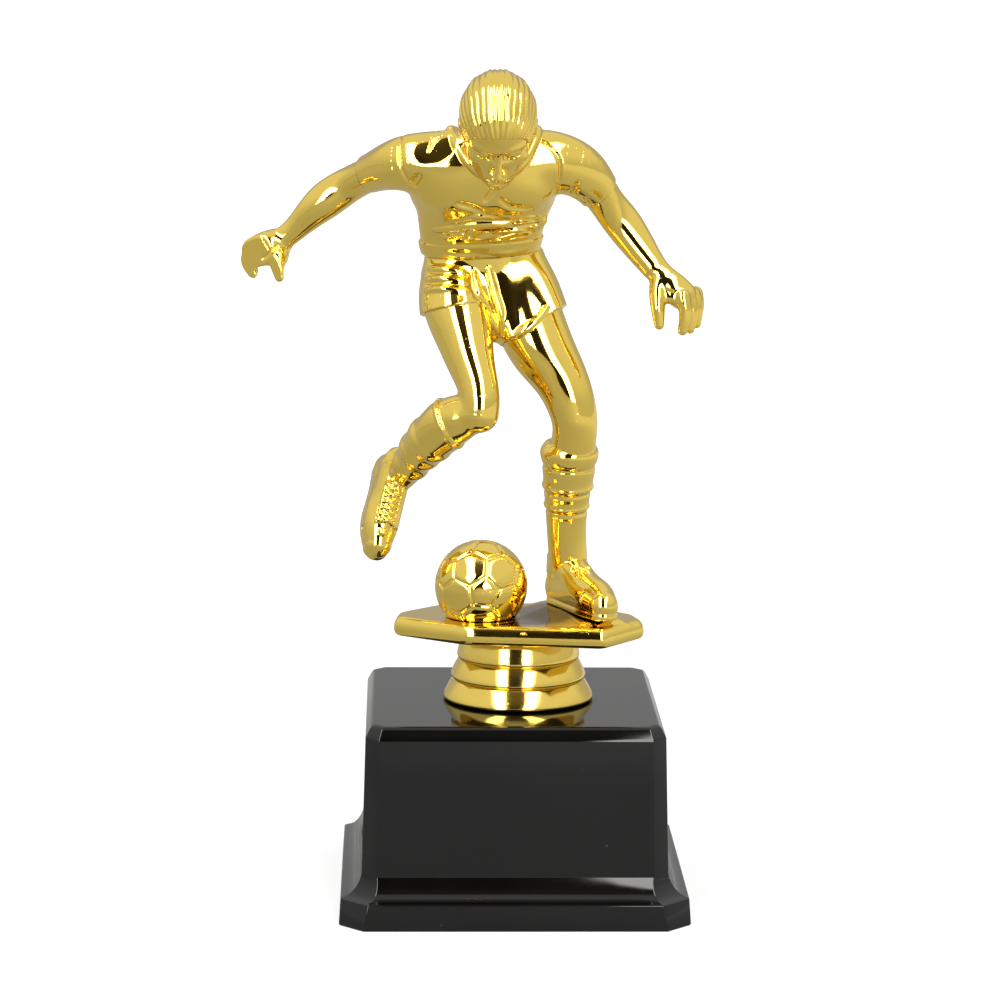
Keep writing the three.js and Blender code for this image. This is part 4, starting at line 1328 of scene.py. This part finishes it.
class Net:
    """A short way to write shader nodes."""

    def __init__(self, tree):
        self.tree = tree
        tree.nodes.clear()

    def add(self, kind, values=None, **settings):
        node = self.tree.nodes.new(kind)
        for key, value in settings.items():
            setattr(node, key, value)
        for key, value in (values or {}).items():
            self.set(node.inputs[key], value)
        return node

    def set(self, socket, value):
        if isinstance(value, bpy.types.NodeSocket):
            self.tree.links.new(value, socket)
        else:
            socket.default_value = value

    def math(self, operation, *values):
        return self.add('ShaderNodeMath', dict(enumerate(values)), operation=operation).outputs[0]

    def ramp(self, value, low, high, to_low=0.0, to_high=1.0):
        node = self.add('ShaderNodeMapRange', {'Value': value, 'From Min': low, 'From Max': high,
                                               'To Min': to_low, 'To Max': to_high},
                        interpolation_type='SMOOTHSTEP')
        return node.outputs[0]

    def mix(self, factor, a, b):
        """Between two colours."""
        return self.add('ShaderNodeMix', {0: factor, 6: a, 7: b}, data_type='RGBA').outputs[2]

    def blend(self, factor, a, b):
        """Between two numbers."""
        return self.add('ShaderNodeMix', {0: factor, 2: a, 3: b}, data_type='FLOAT').outputs[0]

    def noise(self, vector, scale, detail=2.0, roughness=0.5):
        node = self.add('ShaderNodeTexNoise', {'Vector': vector, 'Scale': scale, 'Detail': detail,
                                               'Roughness': roughness})
        return node.outputs[0]

    def specks(self, vector, scale, size):
        """1 inside small spots scattered through space, 0 between them."""
        node = self.add('ShaderNodeTexVoronoi', {'Vector': vector, 'Scale': scale})
        return self.ramp(node.outputs['Distance'], size, size * 0.6)

    def bump(self, height, strength, distance, normal=None):
        values = {'Height': height, 'Strength': strength, 'Distance': distance}
        if normal is not None:
            values['Normal'] = normal
        return self.add('ShaderNodeBump', values).outputs[0]


def material(name):
    made = bpy.data.materials.new(name)
    made.use_nodes = True
    net = Net(made.node_tree)
    out = net.add('ShaderNodeOutputMaterial')
    shader = net.add('ShaderNodeBsdfPrincipled')
    made.node_tree.links.new(shader.outputs[0], out.inputs[0])
    place = net.add('ShaderNodeTexCoord').outputs['Object']
    return made, net, shader, place


# the third colour, mixed in towards grazing angles, is a painted darker reflection along the figure's edges
GOLD, GOLD_LIGHT, PAINTED_EDGE_SHADE = (0.93, 0.675, 0.130, 1), (0.96, 0.715, 0.160, 1), (0.62, 0.40, 0.10, 1)
# dark brown mixed into the plate's gold between the ball and the boot: painted shade
PAINTED_SHADE_BROWN = (0.10, 0.055, 0.015, 1)
MIRROR, SATIN = 0.045, 0.09         # roughness of the figure's plating and of the riser's


def paint_shade_blotch(net, place, colour, middle, half):
    """Darkens a colour inside a blotch given by its middle and its half sizes: a painted shade."""
    spot = net.add('ShaderNodeMapping', {'Vector': place, 'Location': [-m / h for m, h in zip(middle, half)],
                                         'Scale': [1 / h for h in half]}).outputs[0]
    length = net.add('ShaderNodeVectorMath', {0: spot}, operation='LENGTH').outputs['Value']
    ragged = net.math('MULTIPLY', net.math('SUBTRACT', net.noise(place, 90, 2), 0.5), 0.5)
    shade_spread = net.math('ADD', length, ragged)
    return net.mix(net.ramp(shade_spread, 0.72, 1.12, 0.92, 0.0), colour, PAINTED_SHADE_BROWN)


def gold_plating(name='gold_plating', dullness=MIRROR, painted_shade=None):
    """Vacuum metallised gold: a mirror with faint flow waves, fine grain and a few dull specks, its edges
    painted browner towards grazing angles as a painted darker reflection. Where asked, a painted shade
    darkens it inside a blotch: its middle and its half sizes."""
    made, net, shader, place = material(name)
    colour = net.mix(net.noise(place, 60, 3), GOLD, GOLD_LIGHT)
    # edges painted browner towards grazing angles: a painted darker reflection
    facing = net.add('ShaderNodeLayerWeight', {'Blend': 0.5}).outputs['Facing']
    colour = net.mix(net.ramp(facing, 0.55, 0.95, 0.0, 0.75), colour, PAINTED_EDGE_SHADE)
    # painted shade: the gold is darkened inside the blotch between the ball and the boot
    if painted_shade:
        colour = paint_shade_blotch(net, place, colour, *painted_shade)
    net.set(shader.inputs['Base Color'], colour)
    net.set(shader.inputs['Metallic'], 1.0)
    dust = net.specks(place, 520, 0.10)
    patches = net.ramp(net.noise(place, 90, 2), 0.45, 0.75, 0.0, 0.05)
    rough = net.math('ADD', net.math('ADD', dullness, patches), net.math('MULTIPLY', dust, 0.16))
    net.set(shader.inputs['Roughness'], rough)
    waves = net.bump(net.noise(place, 150, 2, 0.4), 0.10, 0.0006)
    grain = net.bump(net.noise(place, 5200, 1), 0.05, 0.00006, waves)
    net.set(shader.inputs['Normal'], net.bump(dust, 0.12, 0.00008, grain))
    return made


def black_plastic():
    """Polished black polystyrene: deep gloss with dust nibs, hairline scuffs and a faint moulding flow."""
    made, net, shader, place = material('black_plastic')
    tone = net.ramp(net.noise(place, 35, 3), 0.3, 0.7)
    nibs = net.specks(place, 150, 0.035)
    colour = net.mix(tone, (0.0018, 0.0018, 0.0018, 1), (0.0030, 0.0030, 0.0029, 1))
    net.set(shader.inputs['Base Color'], net.mix(nibs, colour, (0.045, 0.045, 0.045, 1)))
    net.set(shader.inputs['IOR'], 1.5)
    hair = net.add('ShaderNodeMapping', {'Vector': place, 'Scale': (900, 900, 26)}).outputs[0]
    lines = net.ramp(net.noise(hair, 1, 2), 0.66, 0.74)
    haze = net.ramp(net.noise(place, 55, 3), 0.35, 0.75, 0.035, 0.07)
    net.set(shader.inputs['Roughness'], net.math('ADD', haze, net.math('MULTIPLY', lines, 0.05)))
    flow = net.bump(net.noise(place, 42, 2, 0.4), 0.06, 0.0009)
    net.set(shader.inputs['Normal'], net.bump(nibs, 0.35, 0.0001, flow))
    return made


def zinc_steel():
    """Bright zinc plate over turned steel."""
    made, net, shader, place = material('zinc_steel')
    tone = net.noise(place, 700, 4)
    net.set(shader.inputs['Base Color'], net.mix(tone, (0.52, 0.53, 0.55, 1), (0.70, 0.71, 0.72, 1)))
    net.set(shader.inputs['Metallic'], 1.0)
    net.set(shader.inputs['Roughness'], net.ramp(tone, 0.3, 0.7, 0.24, 0.42))
    turned = net.add('ShaderNodeMapping', {'Vector': place, 'Scale': (60, 60, 4200)}).outputs[0]
    net.set(shader.inputs['Normal'], net.bump(net.noise(turned, 1, 2), 0.25, 0.00006))
    return made


def cast_weight():
    """Rough cast mineral ballast with open pores."""
    made, net, shader, place = material('cast_weight')
    coarse, fine = net.noise(place, 160, 5, 0.65), net.noise(place, 1500, 3)
    pores = net.specks(place, 420, 0.22)
    grey = net.mix(coarse, (0.16, 0.155, 0.145, 1), (0.42, 0.40, 0.37, 1))
    # the pores are coloured dark as well as sunk: painted shade inside them
    net.set(shader.inputs['Base Color'], net.mix(pores, grey, (0.07, 0.068, 0.062, 1)))
    net.set(shader.inputs['Roughness'], 0.92)
    height = net.math('SUBTRACT', net.math('ADD', coarse, fine), net.math('MULTIPLY', pores, 1.4))
    net.set(shader.inputs['Normal'], net.bump(height, 0.7, 0.0004))
    return made


def foam_pad():
    """Closed-cell foam with an open, pitted skin."""
    made, net, shader, place = material('foam_pad')
    cells = net.add('ShaderNodeTexVoronoi', {'Vector': place, 'Scale': 1400}).outputs['Distance']
    tone = net.noise(place, 120, 3)
    net.set(shader.inputs['Base Color'], net.mix(tone, (0.010, 0.010, 0.011, 1), (0.028, 0.028, 0.030, 1)))
    net.set(shader.inputs['Roughness'], net.ramp(tone, 0.3, 0.7, 0.82, 0.97))
    net.set(shader.inputs['Normal'], net.bump(cells, 0.8, 0.0003))
    return made


def paint(piece, look):
    piece.data.materials.clear()
    piece.data.materials.append(look)


# ---------------- light, floor and camera ----------------
LIGHT_AZIMUTH = math.radians(-7.0)
TENT_LOW, TENT = 0.58, 0.80         # brightness of the tent at the horizon and higher up
BACK = 0.50                         # brightness of the room behind the object
STRIP = 8.0                         # brightness of the two strip lights
GAP_LOW, GAP_HIGH = 0.02, 0.12      # faint glow in the gap between them, at the horizon and high up
FLOOR_GLOW = 0.58
GAP_EDGE = (0.212, 0.236)           # from the gap to a strip, as the sine of the angle sideways
STRIP_EDGE = (0.45, 0.52)           # from a strip to the tent
TENT_TINT, GAP_TINT = (1.0, 0.995, 0.985, 1), (1.0, 0.78, 0.52, 1)
WHITE = (1, 1, 1, 1)
FLOOR_HALF = 9.0
# the floor's grey is painted darker on the left and close to the object: painted shade, seen in the gold's
# reflections
FLOOR_LEFT, FLOOR_RIGHT = 0.29, 0.45        # how pale the floor is 0.45 m to either side
FLOOR_NEAR, FLOOR_FAR = 0.80, 1.06          # factor on it, beside the object and 0.6 m away
FLOOR_SEEN = 0.7                            # glow that only the camera sees, so the sheet looks white


def by_camera_ray(net, other, seen):
    """One shader where the camera looks and another for every other ray."""
    ray = net.add('ShaderNodeLightPath').outputs['Is Camera Ray']
    values = {0: ray, 2: seen.outputs[0]}
    if other:
        values[1] = other.outputs[0]
    return net.add('ShaderNodeMixShader', values)


def studio():
    """A white tent with two tall strip lights beside the camera and a dark gap between them."""
    scene = bpy.context.scene
    scene.world = bpy.data.worlds.new('studio')
    scene.world.use_nodes = True
    net = Net(scene.world.node_tree)
    direction = net.add('ShaderNodeTexCoord').outputs['Generated']
    x, y, z = net.add('ShaderNodeSeparateXYZ', {0: direction}).outputs
    cos, sin = math.cos(LIGHT_AZIMUTH), math.sin(LIGHT_AZIMUTH)
    side = net.math('ABSOLUTE', net.math('ADD', net.math('MULTIPLY', x, cos), net.math('MULTIPLY', y, sin)))
    depth = net.math('SUBTRACT', net.math('MULTIPLY', y, cos), net.math('MULTIPLY', x, sin))
    lit_side = net.math('MULTIPLY', net.ramp(depth, 0.05, -0.10), net.ramp(z, 0.96, 0.90))
    gap = net.math('MULTIPLY', net.ramp(side, *GAP_EDGE[::-1]), lit_side)
    strip = net.math('MULTIPLY', net.ramp(side, *GAP_EDGE), net.ramp(side, *STRIP_EDGE[::-1]))
    strip = net.math('MULTIPLY', strip, lit_side)
    behind = net.math('MULTIPLY', net.ramp(depth, 0.45, 0.80), net.ramp(z, 0.75, 0.35))
    tent = net.blend(behind, net.ramp(z, 0.0, 0.55, TENT_LOW, TENT), BACK)
    gap_glow = net.ramp(z, 0.55, 0.92, GAP_LOW, GAP_HIGH)
    level = net.blend(gap, net.blend(strip, tent, STRIP), gap_glow)
    level = net.blend(net.ramp(z, 0.0, 0.02), FLOOR_GLOW, level)
    lit = net.add('ShaderNodeBackground', {'Color': net.mix(gap, TENT_TINT, GAP_TINT), 'Strength': level})
    plain = net.add('ShaderNodeBackground', {'Color': WHITE, 'Strength': 1.0})
    out = net.add('ShaderNodeOutputWorld')
    net.set(out.inputs[0], by_camera_ray(net, lit, plain).outputs[0])
    scene.view_settings.view_transform = 'Standard'
    scene.view_settings.look = 'None'


def pale_floor():
    """A large pale sheet, white where nothing shades it."""
    mesh = bpy.data.meshes.new('floor')
    corners = [(x * FLOOR_HALF, y * FLOOR_HALF, 0) for x, y in ((-1, -1), (1, -1), (1, 1), (-1, 1))]
    mesh.from_pydata(corners, [], [(0, 1, 2, 3)])
    floor = bpy.data.objects.new('floor', mesh)
    bpy.context.scene.collection.objects.link(floor)
    made = bpy.data.materials.new('floor')
    made.use_nodes = True
    net = Net(made.node_tree)
    place = net.add('ShaderNodeTexCoord').outputs['Object']
    x = net.add('ShaderNodeSeparateXYZ', {0: place}).outputs[0]
    length = net.add('ShaderNodeVectorMath', {0: place}, operation='LENGTH').outputs['Value']
    # painted shade: darker towards the left and near the object
    level = net.math('MULTIPLY', net.ramp(x, -0.45, 0.45, FLOOR_LEFT, FLOOR_RIGHT),
                     net.ramp(length, 0.10, 0.60, FLOOR_NEAR, FLOOR_FAR))
    grey = net.add('ShaderNodeCombineXYZ', {0: level, 1: level, 2: level}).outputs[0]
    shader = net.add('ShaderNodeBsdfDiffuse', {'Color': grey})
    glow = net.add('ShaderNodeEmission', {'Color': WHITE, 'Strength': FLOOR_SEEN})
    lift = by_camera_ray(net, None, glow)
    both = net.add('ShaderNodeAddShader', {0: shader.outputs[0], 1: lift.outputs[0]})
    out = net.add('ShaderNodeOutputMaterial')
    net.set(out.inputs[0], both.outputs[0])
    mesh.materials.append(made)


CAMERA_PLACE = (-0.02693, -0.87565, 0.24139)
CAMERA_LOOK = (0.026707, 0.985420, -0.168030)
CAMERA_RIGHT = (0.999640, -0.025886, 0.007077)
LENS, SENSOR = 138.0, 36.0


def camera():
    data = bpy.data.cameras.new('camera')
    data.lens, data.sensor_width = LENS, SENSOR
    data.clip_start, data.clip_end = 0.05, 20
    eye_object = bpy.data.objects.new('camera', data)
    back = -Vector(CAMERA_LOOK).normalized()
    right = Vector(CAMERA_RIGHT).normalized()
    up = back.cross(right).normalized()
    right = up.cross(back)
    turn = Matrix((right, up, back)).transposed().to_4x4()
    eye_object.matrix_world = Matrix.Translation(CAMERA_PLACE) @ turn
    bpy.context.scene.collection.objects.link(eye_object)
    bpy.context.scene.camera = eye_object


# ---------------- putting it together ----------------
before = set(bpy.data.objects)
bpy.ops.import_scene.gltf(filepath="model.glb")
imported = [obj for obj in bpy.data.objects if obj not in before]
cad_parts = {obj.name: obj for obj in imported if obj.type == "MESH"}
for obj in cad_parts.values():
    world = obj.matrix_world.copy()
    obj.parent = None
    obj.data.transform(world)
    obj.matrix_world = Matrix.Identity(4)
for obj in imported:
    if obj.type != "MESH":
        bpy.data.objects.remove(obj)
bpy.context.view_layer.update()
# painted shade on the plate between the ball and the boot, standing in for dark reflections and contact shade
# there: middle and half sizes
PLATE_PAINTED_SHADE = ((0.0013, -0.006, 0.0658), (0.018, 0.011, 0.05))
LOOKS = {
    'gold_plating': gold_plating(),
    'plate': gold_plating('gold_plating_plate', painted_shade=PLATE_PAINTED_SHADE),
    'riser': gold_plating('gold_plating_riser', dullness=SATIN),
    'black_plastic': black_plastic(),
    'zinc_steel': zinc_steel(),
    'cast_weight': cast_weight(),
    'foam_pad': foam_pad(),
}


def finish_piece(piece, slot_name, *nodes, look=None):
    paint(piece, LOOKS[look or slot_name])
    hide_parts(*nodes)


def surface_normals(clay, points):
    """Outward directions of the sculpt's surface, which shade the mesh more smoothly than its faces do."""
    p = points.astype(F32)
    g = np.empty_like(p)
    step = 0.05
    for axis in range(3):
        q, r = p.copy(), p.copy()
        q[:, axis] += step
        r[:, axis] -= step
        g[:, axis] = clay.distance(q) - clay.distance(r)
    return g / np.maximum(np.linalg.norm(g, axis=1), 1e-6)[:, None]


def add_figure():
    clay = mould_line(whole())
    points, quads = mesh_clay(clay, FIGURE_CELL)
    g = parting_depth(points[:, 0], points[:, 2]) - points[:, 1]
    points, faces, rims = split(points, quads, g)
    normals = surface_normals(clay, points)
    for name, node, side, rim, facing in (('figure_front', 'figure_front_half', faces[0], rims[0], 1),
                                          ('figure_back', 'figure_back_half', faces[1], rims[1], -1)):
        extra, closing = cap(points, rim, clay, facing)
        every = np.concatenate([points, extra]) if extra else points
        used = sorted({i for f in side + closing for i in f})
        place = {v: i for i, v in enumerate(used)}
        skin = len(side)
        shown = [[place[i] for i in f] for f in side + closing]
        piece = mesh_object(name, every[used], shown, 'figure')
        corner_normals(piece, normals, used, skin)
        finish_piece(piece, 'gold_plating', node)


def corner_normals(piece, normals, used, skin):
    """The skin takes the sculpt's own normals; the closing faces stay flat."""
    mesh = piece.data
    count = len(mesh.loops)
    vertex = np.empty(count, np.int32)
    mesh.loops.foreach_get('vertex_index', vertex)
    used = np.array(used)
    flat = np.zeros((count, 3), np.float32)
    own = used[vertex] < len(normals)
    flat[own] = normals[used[vertex[own]]]
    for polygon in mesh.polygons[skin:]:
        for loop in polygon.loop_indices:
            flat[loop] = polygon.normal
    mesh.normals_split_custom_set(flat.tolist())


def add_plate():
    clay = plate_clay()
    points, quads = mesh_clay(clay, PLATE_CELL)
    piece = mesh_object('plate', points, quads, 'figure', surface_normals(clay, points))
    finish_piece(piece, 'gold_plating', 'plinth_plate', look='plate')


def add_ball():
    for name, points, faces in ball_halves():
        piece = mesh_object(name, points, faces, 'figure')
        sharp_edges(piece, 50)
        finish_piece(piece, 'gold_plating', name + '_half')


def add_riser():
    points, quads = lathe(smooth_profile(RISER_PROFILE), RISER_AXIS)
    piece = mesh_object('riser_rings', points, quads, 'riser')
    finish_piece(piece, 'gold_plating', 'riser', look='riser')


def add_base():
    points, quads = base_shell()
    piece = mesh_object('base_block', points, quads, 'base')
    sharp_edges(piece, 24)
    finish_piece(piece, 'black_plastic', 'base_shell')


INNER = {'base_weight': 'cast_weight', 'base_pad': 'foam_pad', 'base_washer': 'zinc_steel',
         'spring_washer': 'zinc_steel', 'base_nut': 'zinc_steel', 'centre_bolt': 'zinc_steel'}

add_base()
add_riser()
add_plate()
add_ball()
add_figure()
for node, look in INNER.items():
    paint(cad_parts[node], LOOKS[look])
studio()
pale_floor()
camera()
